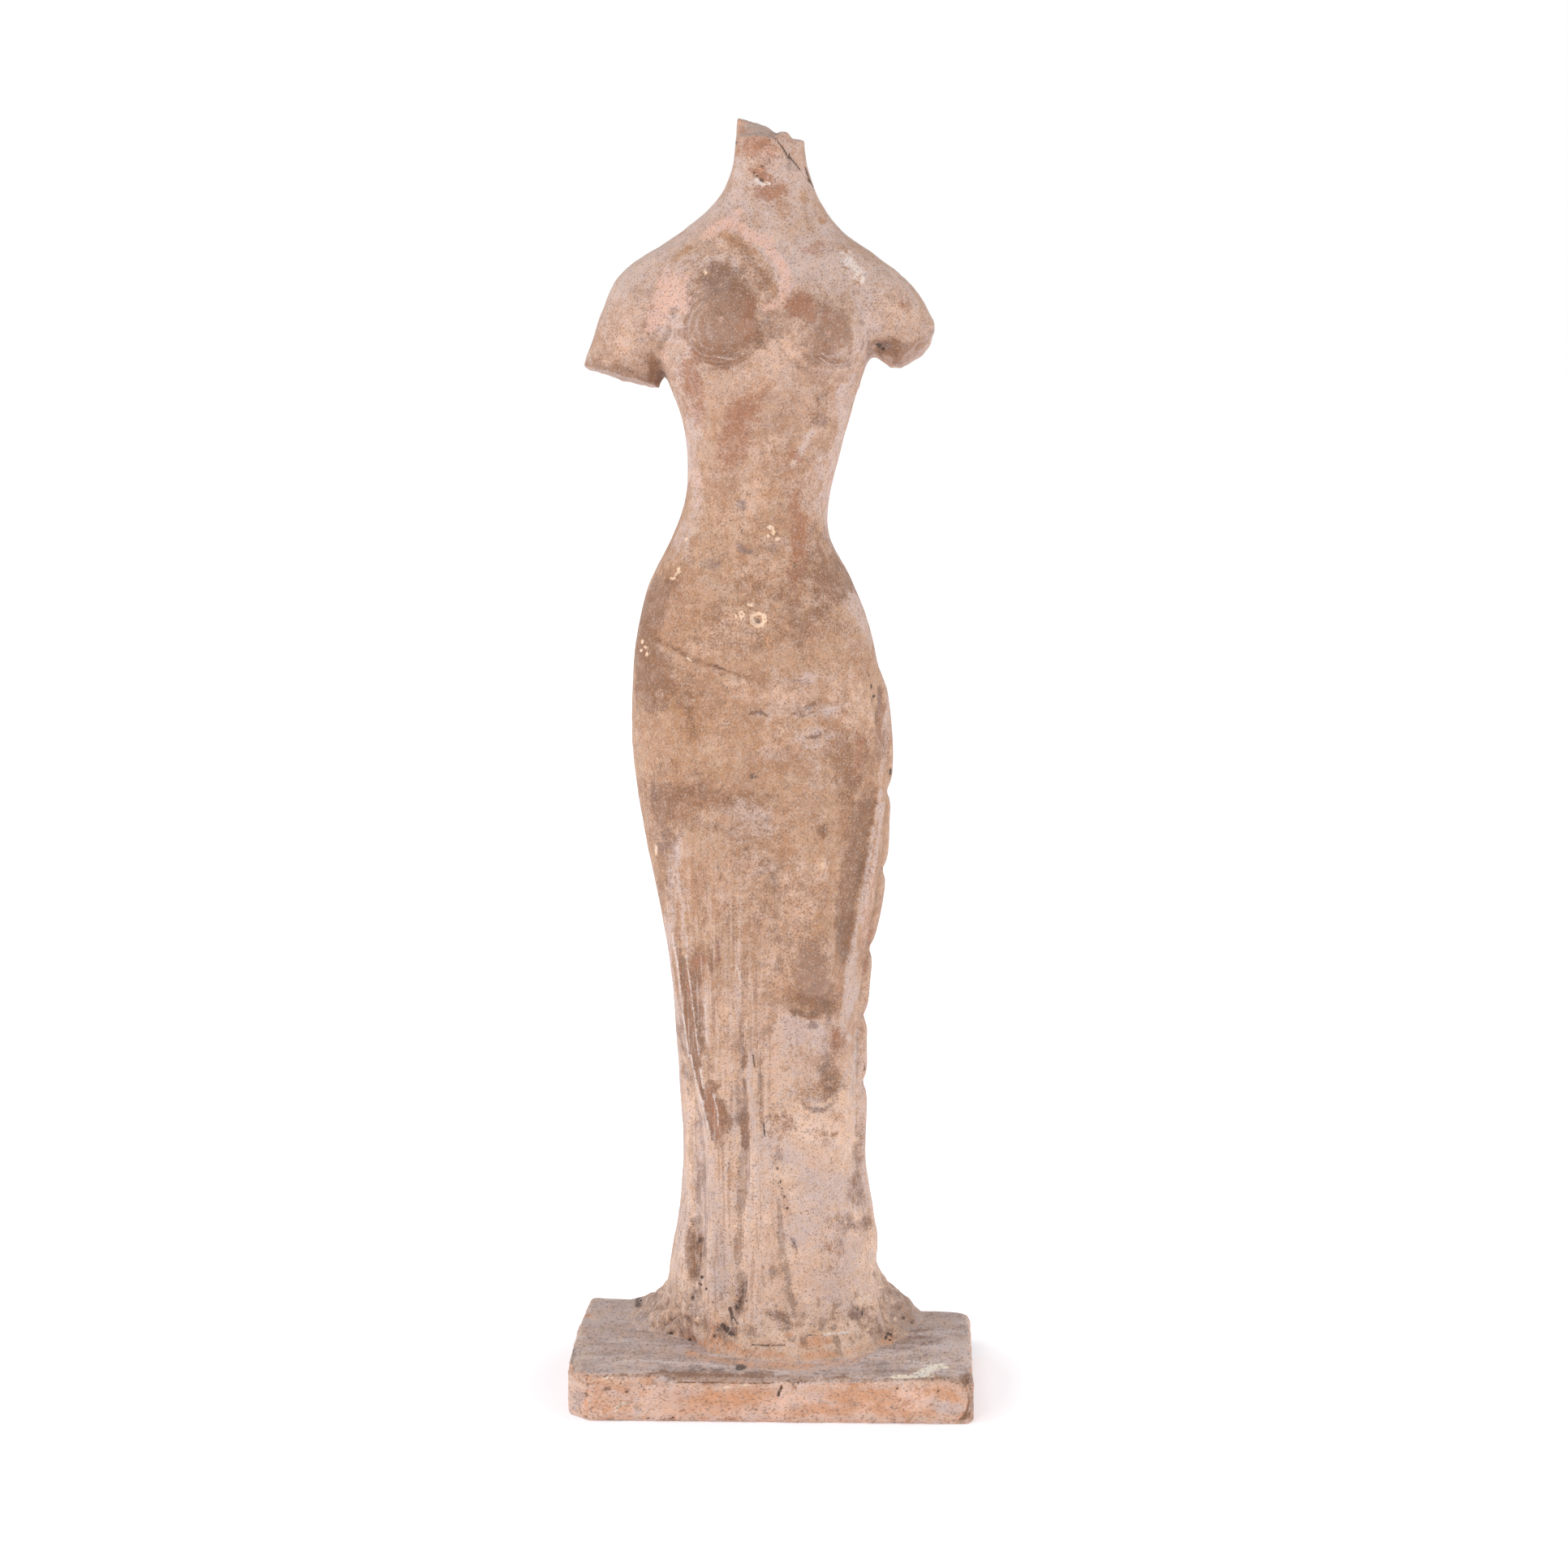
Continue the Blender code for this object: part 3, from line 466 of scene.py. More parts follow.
# Stains on the figure: (u, v, half-width, half-height in pixels, strength, then any turn in degrees)
STAINS = {
    "bloom": (
        (800, 320, 55, 26, 0.8, -38), (765, 350, 20, 50, 0.5, 30), (868, 262, 44, 22, 0.8, -42),
        (905, 232, 16, 60, 0.55, 12), (988, 240, 22, 44, 0.5, -20), (950, 205, 34, 30, 0.6),
        (930, 262, 70, 44, 0.6), (1020, 290, 34, 44, 0.7, 40), (965, 320, 62, 36, 0.7),
        (985, 345, 40, 26, 0.5), (1082, 335, 44, 22, 0.6, 35), (1120, 360, 14, 26, 0.5, -30),
        (1072, 395, 14, 60, 0.6, -6), (836, 400, 18, 70, 0.7), (1040, 345, 34, 30, 0.6),
        (892, 329, 30, 13, 0.9, 14), (850, 340, 30, 40, 0.4), (1062, 400, 12, 60, 0.6, -8),
        (853, 540, 10, 110, 0.8), (1032, 550, 12, 110, 0.85, 10), (1000, 600, 16, 60, 0.5, 8),
        (848, 650, 16, 40, 0.6, 25), (1025, 650, 12, 40, 0.6, -10), (965, 680, 60, 24, 0.35),
        (1058, 755, 20, 60, 0.7, -25), (1008, 740, 20, 50, 0.4), (985, 836, 70, 12, 0.5),
        (1000, 872, 50, 12, 0.6, 4), (1004, 906, 44, 12, 0.6, 4), (935, 880, 34, 12, 0.5),
        (960, 930, 60, 12, 0.4), (926, 1012, 44, 26, 0.6), (940, 1070, 34, 30, 0.35),
        (806, 985, 12, 60, 0.25), (1092, 900, 8, 70, 0.6, 4), (1010, 960, 40, 20, 0.35),
        (826, 1120, 8, 120, 0.7, 6), (990, 1272, 46, 26, 0.8), (1050, 1215, 9, 60, 0.7, 6),
        (985, 1320, 50, 40, 0.4), (868, 1250, 12, 70, 0.5, 4), (866, 1440, 12, 100, 0.8),
        (835, 1290, 6, 120, 0.8, 4), (1015, 1468, 50, 46, 0.9), (1064, 1420, 10, 130, 0.7),
        (1000, 1530, 56, 30, 0.7, 20), (975, 1430, 30, 30, 0.6), (1030, 1590, 34, 30, 0.6),
        (880, 1570, 24, 30, 0.5), (1052, 1545, 30, 36, 0.5), (842, 1450, 7, 120, 0.7),
        (940, 1440, 30, 60, 0.4), (885, 1520, 20, 80, 0.6), (835, 1560, 10, 40, 0.5),
        (962, 1624, 60, 20, 0.4), (1056, 1330, 10, 80, 0.6), (985, 1400, 50, 30, 0.35),
        (905, 1385, 6, 30, 0.6), (742, 452, 30, 8, 0.5, 15), (925, 1570, 20, 40, 0.35),
        (900, 1225, 30, 14, 0.35),
    ),
    "pale": (
        (896, 303, 18, 11, 0.8, 20), (922, 332, 8, 26, 0.7, -40), (937, 372, 9, 12, 0.7),
        (955, 437, 40, 28, 0.9), (936, 472, 30, 16, 0.6), (932, 612, 26, 24, 0.6), (940, 560, 36, 50, 0.4),
        (775, 405, 24, 40, 0.7, 15), (1098, 385, 24, 30, 0.5), (905, 640, 40, 30, 0.4),
        (960, 855, 60, 14, 0.8), (960, 905, 36, 24, 0.5), (875, 905, 26, 44, 0.35),
        (1040, 840, 30, 30, 0.5), (920, 770, 40, 30, 0.4), (918, 1090, 44, 60, 0.4),
        (960, 1150, 50, 50, 0.4), (930, 1230, 40, 50, 0.5), (952, 1325, 14, 50, 0.8),
        (900, 1310, 16, 70, 0.4), (963, 1495, 14, 30, 0.8), (900, 1450, 24, 60, 0.4),
        (940, 1530, 20, 30, 0.8), (940, 1590, 40, 40, 0.6), (880, 1632, 16, 18, 0.8),
        (1000, 1560, 30, 40, 0.6), (1011, 1068, 9, 26, 0.9), (938, 700, 50, 30, 0.4),
        (1050, 885, 24, 30, 0.5), (1045, 1385, 22, 20, 0.6), (1010, 1430, 30, 16, 0.5),
        (1002, 1653, 8, 6, 0.9), (850, 1100, 20, 50, 0.3), (985, 1110, 20, 60, 0.5),
        (1075, 870, 10, 50, 0.4), (870, 800, 26, 16, 0.5),
    ),
    "ochre": (
        (849, 905, 24, 40, 0.9), (880, 526, 6, 30, 0.8, -3), (1015, 1045, 20, 44, 0.7),
        (849, 1065, 5, 10, 0.8), (990, 242, 9, 9, 0.6), (1013, 272, 6, 6, 0.8), (968, 257, 14, 20, 0.5),
        (996, 1217, 30, 42, 0.75), (900, 1452, 9, 22, 0.7), (1038, 1137, 5, 26, 0.8),
        (855, 1430, 5, 80, 0.7), (830, 870, 24, 60, 0.6), (1004, 1150, 18, 60, 0.5),
        (900, 930, 36, 30, 0.4), (945, 785, 10, 24, 0.7), (945, 600, 12, 40, 0.5),
        (1035, 1374, 14, 16, 0.5), (870, 960, 26, 24, 0.6), (800, 790, 16, 30, 0.5),
        (920, 895, 30, 24, 0.4), (1000, 820, 30, 14, 0.3), (870, 740, 40, 30, 0.3),
        (1060, 1290, 12, 30, 0.3), (930, 1215, 30, 20, 0.35),
    ),
    "brown": (
        (884, 386, 52, 54, 1.0), (896, 353, 42, 22, 0.55, 8), (872, 408, 34, 34, 1.0, 20),
        (905, 405, 40, 34, 0.9), (1026, 411, 42, 36, 1.0), (1000, 378, 44, 24, 0.7, 20),
        # the first two are painted shade under the breasts
        (893, 440, 30, 8, 0.6, 4), (1018, 446, 26, 10, 0.5), (935, 335, 12, 34, 0.55, -32),
        (905, 305, 16, 12, 0.35, 30), (898, 162, 22, 10, 0.3, 10), (1014, 508, 14, 26, 0.6),
        (849, 470, 16, 36, 0.4, -8), (825, 716, 14, 20, 0.6, 35), (810, 736, 20, 30, 1.0, 24),
        (803, 745, 14, 34, 0.9, 16), (797, 814, 24, 60, 1.0), (790, 760, 12, 40, 0.7, 8),
        (835, 850, 40, 28, 0.6), (812, 840, 24, 44, 0.7), (905, 795, 60, 20, 0.4), (850, 890, 14, 34, 0.6),
        (1020, 720, 40, 34, 0.8, 30), (1052, 705, 14, 50, 0.6, -30), (985, 760, 24, 50, 0.6),
        (900, 745, 40, 30, 0.25), (1030, 765, 40, 16, 0.5, 20), (1085, 900, 7, 60, 0.5, 4),
        (815, 990, 28, 50, 0.8), (860, 975, 40, 30, 0.6), (935, 985, 60, 20, 0.4),
        # (1058, 1000), and (1044, 1110) below, are painted shade beside the thigh's ridge
        (870, 1020, 50, 14, 0.5, 14), (1016, 1023, 11, 14, 1.0), (1058, 1000, 18, 100, 0.5, 10),
        # (1012, 1240) is painted shade under the knee
        (1044, 1110, 15, 90, 0.5, 10), (1000, 1205, 34, 50, 0.8), (1012, 1240, 18, 14, 0.8),
        (1040, 940, 26, 50, 0.6, 10), (990, 1130, 40, 60, 0.25), (850, 1250, 14, 70, 0.85, 5),
        (860, 1180, 20, 40, 0.5), (856, 1300, 12, 50, 0.8, 5), (1025, 1325, 22, 36, 0.7),
        (1035, 1282, 12, 14, 0.8), (1000, 1350, 30, 14, 0.5), (885, 1375, 14, 44, 0.9, -8),
        (918, 1398, 8, 26, 0.9), (965, 1388, 26, 22, 0.4), (1012, 1400, 24, 20, 0.45),
        # (857, 1545) is painted shade down the valley beside the left leg's folds
        (857, 1545, 12, 46, 0.9), (914, 1600, 9, 28, 0.8), (1056, 1614, 16, 12, 0.6),
        (1041, 1512, 24, 16, 0.45, 20), (961, 1626, 22, 16, 0.35, 30), (1055, 1466, 14, 26, 0.6),
        # (806, 456), (1094, 428), (1122, 436) and (770, 458) are painted shade in the armpits and under the
        # arms
        (1025, 1540, 18, 14, 0.35, 20), (806, 456, 14, 16, 1.0), (1094, 428, 26, 18, 1.0, 20),
        (1122, 436, 28, 12, 1.0, -34), (770, 458, 50, 9, 0.8, 14), (1070, 1506, 8, 14, 0.7),
        (905, 1140, 50, 40, 0.3), (1012, 690, 24, 50, 0.5), (930, 720, 90, 24, 0.25),
        (820, 1080, 14, 60, 0.5), (950, 1080, 30, 60, 0.25), (1069, 1200, 7, 60, 0.5, 4),
        (1060, 1400, 8, 40, 0.4), (870, 610, 18, 60, 0.3), (840, 1625, 30, 14, 0.5),
        (895, 1640, 20, 10, 0.7), (1085, 1640, 26, 12, 0.5), (930, 760, 90, 40, 0.2),
    ),
    "rust": (
        (852, 476, 14, 44, 0.75, -6), (922, 508, 22, 42, 0.75, 42), (982, 642, 13, 50, 1.0),
        (984, 715, 12, 40, 0.6), (905, 545, 22, 40, 0.6, 20), (985, 362, 20, 18, 0.65, 30),
        (970, 372, 14, 8, 0.5), (981, 566, 9, 8, 0.9), (1005, 388, 36, 14, 0.6, 14),
        (1002, 306, 22, 13, 0.6), (1111, 372, 12, 14, 0.6), (917, 396, 17, 28, 0.75, 16),
        (950, 376, 14, 10, 0.5), (934, 180, 30, 13, 0.8, 4), (938, 190, 26, 14, 0.6), (917, 162, 6, 6, 0.8),
        (935, 213, 16, 11, 1.0, 20), (943, 219, 10, 7, 0.9, 20), (949, 239, 26, 15, 1.0),
        (803, 391, 12, 30, 0.5, 20), (860, 1182, 9, 12, 0.8), (885, 1167, 5, 16, 0.8),
        (880, 1372, 8, 36, 0.9, -10), (919, 1396, 6, 20, 0.9), (1031, 1282, 13, 14, 0.7),
        (1068, 1150, 7, 90, 0.5, 4), (1115, 1604, 6, 8, 0.9), (968, 1390, 24, 14, 0.4, 20),
        (905, 560, 14, 60, 0.4), (1001, 780, 16, 30, 0.4), (846, 1210, 6, 30, 0.6),
        (1085, 880, 6, 50, 0.6, 4), (1060, 930, 10, 40, 0.5, 10), (964, 590, 12, 30, 0.4),
        (1026, 1540, 16, 10, 0.35, 20), (1064, 1320, 5, 50, 0.4), (846, 1640, 10, 8, 0.5),
        (835, 340, 18, 30, 0.4, 30),
    ),
    "grime": (
        (800, 1604, 22, 16, 0.9, 25), (818, 1630, 24, 14, 0.8, 30), (835, 1600, 16, 30, 0.4),
        (1112, 1610, 26, 22, 0.9, 30), (1120, 1636, 20, 14, 1.0, -30), (1090, 1640, 24, 14, 0.5),
        (1092, 1590, 12, 20, 0.5, 30), (1000, 1660, 60, 5, 0.3),
    ),
    "ash": (
        (740, 1604, 34, 20, 1.0, 10), (768, 1618, 26, 22, 0.95, 25), (790, 1634, 22, 16, 0.9, 30),
        (815, 1652, 24, 9, 0.9, 22), (1150, 1616, 26, 14, 0.8, 20), (1130, 1634, 18, 12, 0.6, -30),
    ),
    "pink": (
        (829, 357, 24, 32, 0.8, 20), (846, 340, 10, 6, 0.9, -30), (833, 358, 10, 7, 0.9, -30),
        (816, 352, 12, 20, 0.8, 20), (840, 380, 9, 10, 0.8), (820, 382, 10, 20, 0.7, 10),
        (911, 261, 8, 6, 0.8), (806, 396, 10, 26, 0.8, 10), (1068, 1130, 6, 60, 0.4, 8),
        (1068, 1290, 5, 60, 0.4), (1000, 500, 60, 60, 0.15), (855, 600, 12, 40, 0.35),
        (1025, 590, 10, 50, 0.4, 8), (950, 190, 14, 10, 0.35), (889, 393, 6, 5, 0.6),
        (1020, 412, 5, 5, 0.6), (820, 440, 8, 20, 0.5),
    ),
    "fresh": (
        (916, 152, 8, 4.5, 1.0), (971, 1644, 7, 4, 0.9), (1020, 1653, 7, 3, 1.0), (1000, 1670, 6, 2.5, 1.0),
        (961, 1670, 5, 3, 0.9), (1095, 1648, 10, 7, 0.7, -20), (880, 1657, 34, 8, 0.9, 12),
        (1000, 1654, 18, 8, 1.0), (935, 1668, 26, 5, 0.7), (1010, 1669, 20, 4, 0.7),
        (1085, 1654, 16, 4, 0.6, -20), (934, 209, 9, 4, 0.5, 20), (907, 1538, 7, 7, 0.7),
        (945, 1520, 14, 20, 0.5), (882, 1630, 10, 12, 0.5), (945, 790, 6, 10, 0.5),
        (930, 1585, 20, 14, 0.35),
    ),
    "smudge": (
        (914, 623, 6, 9, 1.0, -20), (912, 673, 8, 5, 0.9, 40), (921, 679, 10, 5, 0.9, 15),
        (974, 207, 11, 9, 0.7), (890, 352, 34, 15, 0.42, 8), (1015, 519, 11, 15, 0.5),
        (1013, 489, 7, 8, 0.4), (877, 695, 15, 8, 0.7, 10), (850, 690, 14, 10, 0.4), (950, 676, 10, 8, 0.5),
        (996, 652, 9, 14, 0.6), (936, 1077, 12, 9, 0.4), (811, 978, 16, 28, 0.4), (822, 1035, 14, 24, 0.35),
        (1001, 1263, 7, 6, 1.0), (1031, 1565, 12, 9, 0.35), (1042, 1512, 24, 18, 0.28, 20),
        (965, 1624, 22, 16, 0.3, 20), (1057, 1612, 12, 14, 0.35), (913, 1604, 8, 32, 0.6, 12),
        (898, 1640, 14, 7, 0.6), (855, 1600, 7, 24, 0.6), (864, 1572, 5, 18, 0.6),
        (978, 1532, 4, 10, 0.6, -20), (1041, 1515, 12, 8, 0.3), (1056, 1614, 10, 9, 0.3),
        (957, 1628, 12, 9, 0.3), (965, 590, 16, 12, 0.3), (985, 839, 16, 5, 0.45, 4),
        (992, 874, 17, 5, 0.7, -20), (1003, 905, 15, 5, 0.7, -12), (934, 879, 9, 3, 0.7),
        (906, 877, 8, 3, 0.4), (960, 932, 20, 4, 0.3), (934, 765, 2.6, 3.0, 0.6), (1056, 1468, 8, 12, 0.4),
        (1024, 1544, 8, 6, 0.3), (811, 1035, 8, 20, 0.4), (846, 1323, 3, 7, 0.7), (1010, 1367, 14, 4, 0.6),
        (870, 1620, 16, 14, 0.3), (957, 658, 2, 2, 0.9), (1092, 1560, 8, 14, 0.4),
        # (1090, 425) is painted shade in the right armpit
        (1090, 425, 10, 6, 0.7, 20), (863, 945, 14, 14, 0.35), (955, 1620, 8, 8, 0.4),
    ),
    # near-black: painted shade in pits, cracks and cavities
    "hole": (
        # the first five here, and (938, 223) below, are painted shade in the neck's pit
        (929, 213, 1.8, 1.4, 1.0), (933, 217, 1.6, 1.6, 1.0), (938, 222, 3, 2, 1.0),
        (943, 224, 1.6, 1.4, 0.9), (938, 206, 1.2, 1.2, 0.8), (907, 176, 1.4, 1.4, 1.0),
        (882, 821, 2.4, 1.6, 0.9), (888, 824, 3, 1.4, 0.9, 10), (877, 819, 1.4, 1.4, 0.7),
        (914, 653, 1.3, 1.3, 1.0), (928, 957, 2.5, 2, 0.8), (915, 1276, 1.3, 1.3, 1.0),
        # (1083, 425) and (1088, 430) are painted shade in the right armpit
        (1083, 425, 4, 2.6, 1.0, 25), (1088, 430, 2.4, 1.8, 0.9), (865, 1573, 2.5, 2.5, 1.0),
        (863, 1528, 2, 3, 1.0), (853, 1600, 2, 3, 1.0), (896, 1637, 4.5, 2.5, 1.0), (828, 1644, 3, 3, 1.0),
        (787, 1604, 6, 5, 1.0), (850, 1652, 2.5, 2, 0.9), (881, 1647, 2, 1.5, 0.9),
        (902, 1621, 1.5, 8, 0.9), (910, 1609, 3, 3, 0.7), (1094, 1643, 3, 2.5, 0.9),
        (1113, 1624, 2, 2, 0.9), (1124, 1629, 2, 2, 0.8), (938, 223, 3, 1.8, 1.0), (1097, 951, 2, 5, 0.9),
        (1065, 1317, 1.6, 3, 0.8), (1076, 858, 2, 2, 0.9), (1073, 846, 1.5, 3, 0.8),
        (1071, 832, 1.5, 2.5, 0.7), (905, 706, 1, 1, 1.0), (917, 705, 1, 1, 0.9), (980, 697, 1.2, 1.2, 0.8),
        (878, 1605, 1.5, 1.5, 0.9), (920, 1603, 1.5, 2, 0.9), (864, 1545, 1.5, 1.5, 0.9),
        (860, 1560, 1.5, 1.5, 0.8), (870, 1588, 1.5, 2, 0.9), (908, 1596, 1.5, 2, 0.8),
        (958, 1440, 1.5, 2, 0.8), (961, 1456, 1.5, 2, 0.8), (955, 1424, 1.5, 1.5, 0.8),
        (966, 1474, 2, 1.4, 0.8, 20), (970, 1488, 2.4, 1.6, 0.8), (963, 1465, 1.4, 1.8, 0.7),
        (863, 1582, 3, 2, 1.0, 30), (1057, 1612, 1.3, 4, 0.9, 10), (1062, 1618, 1.3, 4, 0.9),
        (1091, 1648, 2, 3, 1.0, 20), (1098, 1645, 1.5, 2.5, 1.0), (1096, 1651, 2, 1.4, 0.9),
    ),
    "white": (
        (1038, 312, 3, 2.5, 1.0), (1045, 318, 5.5, 3.5, 1.0, 20), (1043, 324, 3.5, 4.5, 0.9, -30),
        (1051, 329, 5.5, 4, 1.0, 10), (1058, 333, 5, 5, 1.0, 40), (1054, 340, 4, 3, 0.9),
        (1063, 344, 3, 4.5, 1.0, -20), (1058, 351, 2.2, 2.5, 0.8), (1050, 330, 14, 22, 0.35, -28),
        (1067, 335, 1.8, 1.6, 0.8), (1036, 321, 2, 1.6, 0.7), (1047, 309, 2.2, 1.4, 0.8),
    ),
    "cream": (
        (949, 650, 4.5, 2.4, 0.95, 10), (953, 656, 2.4, 4, 0.9), (958, 664, 3.4, 2.4, 0.9),
        (947, 660, 2, 2, 0.8), (846, 664, 2, 2, 0.9), (836, 702, 2.5, 4, 0.9), (829, 712, 4, 2, 0.7),
        (791, 790, 2, 3, 0.8), (795, 797, 3, 2, 0.8, 30), (790, 801, 2, 2, 0.7), (797, 806, 2, 3, 0.7),
        (849, 812, 5, 1.6, 0.8, 35), (833, 707, 2, 3, 0.7, 20), (809, 1048, 2, 8, 0.9),
        (859, 1625, 3, 3, 0.9), (1031, 1643, 15, 1.6, 0.8), (1103, 1625, 3, 3, 0.7),
        # (944, 225) is a painted highlight at the neck's pit
        (1069, 1638, 3, 2, 0.7), (1085, 1586, 3, 2, 0.7), (944, 225, 2, 1.5, 1.0),
        (871, 316, 1.6, 1.6, 0.9), (871, 337, 1.6, 1.6, 0.9), (1014, 1066, 4, 18, 0.3),
        (1098, 925, 2, 9, 0.5),
    ),
}
# Painted and worn lines: (pixels, half-width in pixels, strength)
STREAKS = {
    "pink": (
        (((870, 290), (885, 277), (898, 272), (911, 279), (924, 290), (942, 296), (953, 311), (963, 324),
          (968, 339), (968, 357), (963, 370), (950, 378), (942, 381)), 8, 0.95),
    ),
    "ochre": (
        (((894, 290), (911, 300), (929, 313), (940, 331), (950, 348), (955, 359)), 9, 0.7),
        (((829, 320), (842, 311), (855, 303)), 4, 1.0),
    ),
    "brown": (
        (((818, 719), (803, 744), (793, 768), (796, 790), (798, 824), (802, 846)), 10, 0.8),
        (((800, 782), (825, 795), (838, 803), (854, 813), (885, 823)), 4, 0.55),
        (((836, 1171), (840, 1200), (844, 1226)), 4, 0.9),
        # painted shade beside the thigh's ridge
        (((1060, 993), (1050, 1040), (1039, 1077), (1033, 1140)), 6, 0.5),
        (((841, 1183), (846, 1226), (849, 1269)), 4.5, 1.0),
        (((849, 1269), (854, 1302), (861, 1326), (867, 1353)), 2.6, 1.0),
        (((857, 1177), (858, 1209)), 7, 0.9), (((876, 1170), (877, 1197)), 4, 0.8),
        (((862, 1240), (863, 1266)), 5, 0.7), (((874, 1337), (877, 1362)), 5, 0.8),
        (((879, 1386), (882, 1411)), 5, 0.9), (((918, 1377), (919, 1411)), 6, 0.9),
        (((1084, 846), (1081, 891)), 3, 0.8), (((925, 879), (934, 876), (944, 882)), 2, 0.9),
        (((976, 880), (990, 872), (1006, 867)), 2, 0.9), (((984, 884), (1008, 875)), 1.6, 0.7),
        (((988, 908), (1002, 909), (1017, 901)), 2.4, 0.9),
        # painted shade under the right arm
        (((1148, 410), (1130, 432), (1105, 447)), 4, 0.7),
        # painted shade under the knee
        (((980, 1247), (994, 1252), (1006, 1249), (1014, 1235)), 4, 0.8),
        # painted shade under the breasts
        (((866, 441), (907, 447)), 5, 0.6), (((1000, 440), (1030, 446)), 5, 0.5),
        # painted shade beside the thigh's ridge
        (((1078, 990), (1066, 1040), (1050, 1119), (1038, 1190)), 4, 0.6),
        # the first is painted shade under the left arm
        (((724, 449), (760, 462), (786, 468), (815, 472)), 4, 0.8), (((1018, 1398), (1030, 1397)), 2, 0.8),
        (((936, 1300), (938, 1400)), 3, 0.5),
    ),
    # near-black: painted shade along cracks and cuts
    "hole": (
        (((958, 174), (970, 190), (980, 202), (985, 208)), 0.75, 1.0),
        (((992, 206), (996, 219), (1002, 231)), 0.9, 0.8), (((927, 1657), (947, 1658)), 0.8, 0.9),
        (((950, 1658), (967, 1657)), 0.8, 0.8), (((941, 1384), (942, 1398)), 1.2, 0.8),
        (((928, 1300), (930, 1316)), 1.0, 0.7), (((920, 1578), (913, 1600), (907, 1614)), 2.0, 0.6),
        (((899, 1612), (903, 1622), (908, 1630)), 1.8, 0.8),
        (((890, 1632), (896, 1640), (902, 1645)), 2.6, 0.9),
        (((974, 1526), (980, 1534), (982, 1544)), 1.2, 0.5), (((990, 1645), (1014, 1645)), 0.8, 0.5),
    ),
    "smudge": (
        (((832, 1430), (828, 1500), (826, 1560)), 1.4, 0.5),
        (((852, 1440), (850, 1500), (848, 1540)), 1.2, 0.4),
        (((868, 1440), (870, 1500), (868, 1560)), 2.0, 0.5),
        (((1098, 1440), (1103, 1500), (1106, 1560)), 2.4, 0.5),
        (((913, 167), (930, 165), (946, 167), (956, 171)), 1.1, 0.8), (((925, 837), (983, 838)), 1.6, 0.35),
        (((954, 1031), (954, 1048)), 1.2, 0.5), (((1084, 846), (1081, 891)), 2, 0.5),
        (((997, 1100), (1022, 1098)), 1.2, 0.5),
    ),
    "bloom": (
        (((820, 1140), (826, 1183), (831, 1234), (836, 1290), (840, 1345)), 2.5, 0.8),
        (((867, 1378), (868, 1420)), 7, 0.7), (((854, 1215), (859, 1225)), 6, 0.7),
        (((881, 437), (907, 441)), 2.0, 0.8), (((1005, 433), (1031, 450)), 2.0, 0.8),
        (((990, 922), (1020, 917)), 2, 0.5), (((962, 886), (1000, 880), (1030, 872)), 2, 0.5),
        (((999, 535), (988, 555), (975, 573)), 4, 0.9), (((860, 1418), (861, 1513)), 3, 0.9),
        (((876, 1430), (880, 1500), (884, 1560)), 2.2, 0.8), (((838, 1440), (836, 1540)), 2.0, 0.8),
        (((893, 1500), (890, 1545), (893, 1580)), 1.6, 0.7),
        (((921, 1420), (924, 1500), (922, 1560)), 2.4, 0.6), (((830, 1040), (848, 1180)), 2, 0.8),
        (((845, 1090), (858, 1190)), 1.5, 0.6), (((1056, 1270), (1052, 1320), (1048, 1350)), 2, 0.9),
    ),
    "fresh": (
        (((858, 1656), (881, 1664), (930, 1668), (978, 1673), (1027, 1670), (1063, 1660)), 6, 0.5),
    ),
    "white": (
        (((908, 1190), (917, 1222)), 1.2, 0.5), (((884, 440), (905, 443)), 1.0, 0.45),
        (((1010, 441), (1022, 449)), 1.0, 0.5), (((1010, 434), (1030, 446)), 1.0, 0.4),
        (((1016, 1645), (1029, 1643)), 1.4, 1.0), (((1033, 1643), (1046, 1641)), 1.4, 1.0),
        # painted highlight on the lit lower rim of the neck's pit
        (((932, 221), (940, 227), (948, 226)), 1.6, 1.0),
    ),
    "cream": (
        (((926, 760), (929, 757), (935, 756), (941, 759), (942, 765), (938, 771), (932, 771), (927, 766),
          (926, 760)), 3.0, 1.0),
        (((911, 755), (914, 753), (917, 757), (914, 761), (911, 757)), 1.3, 0.9),
        (((922, 745), (926, 746)), 1.6, 0.9), (((906, 757), (907, 762)), 1.2, 0.7),
    ),
}
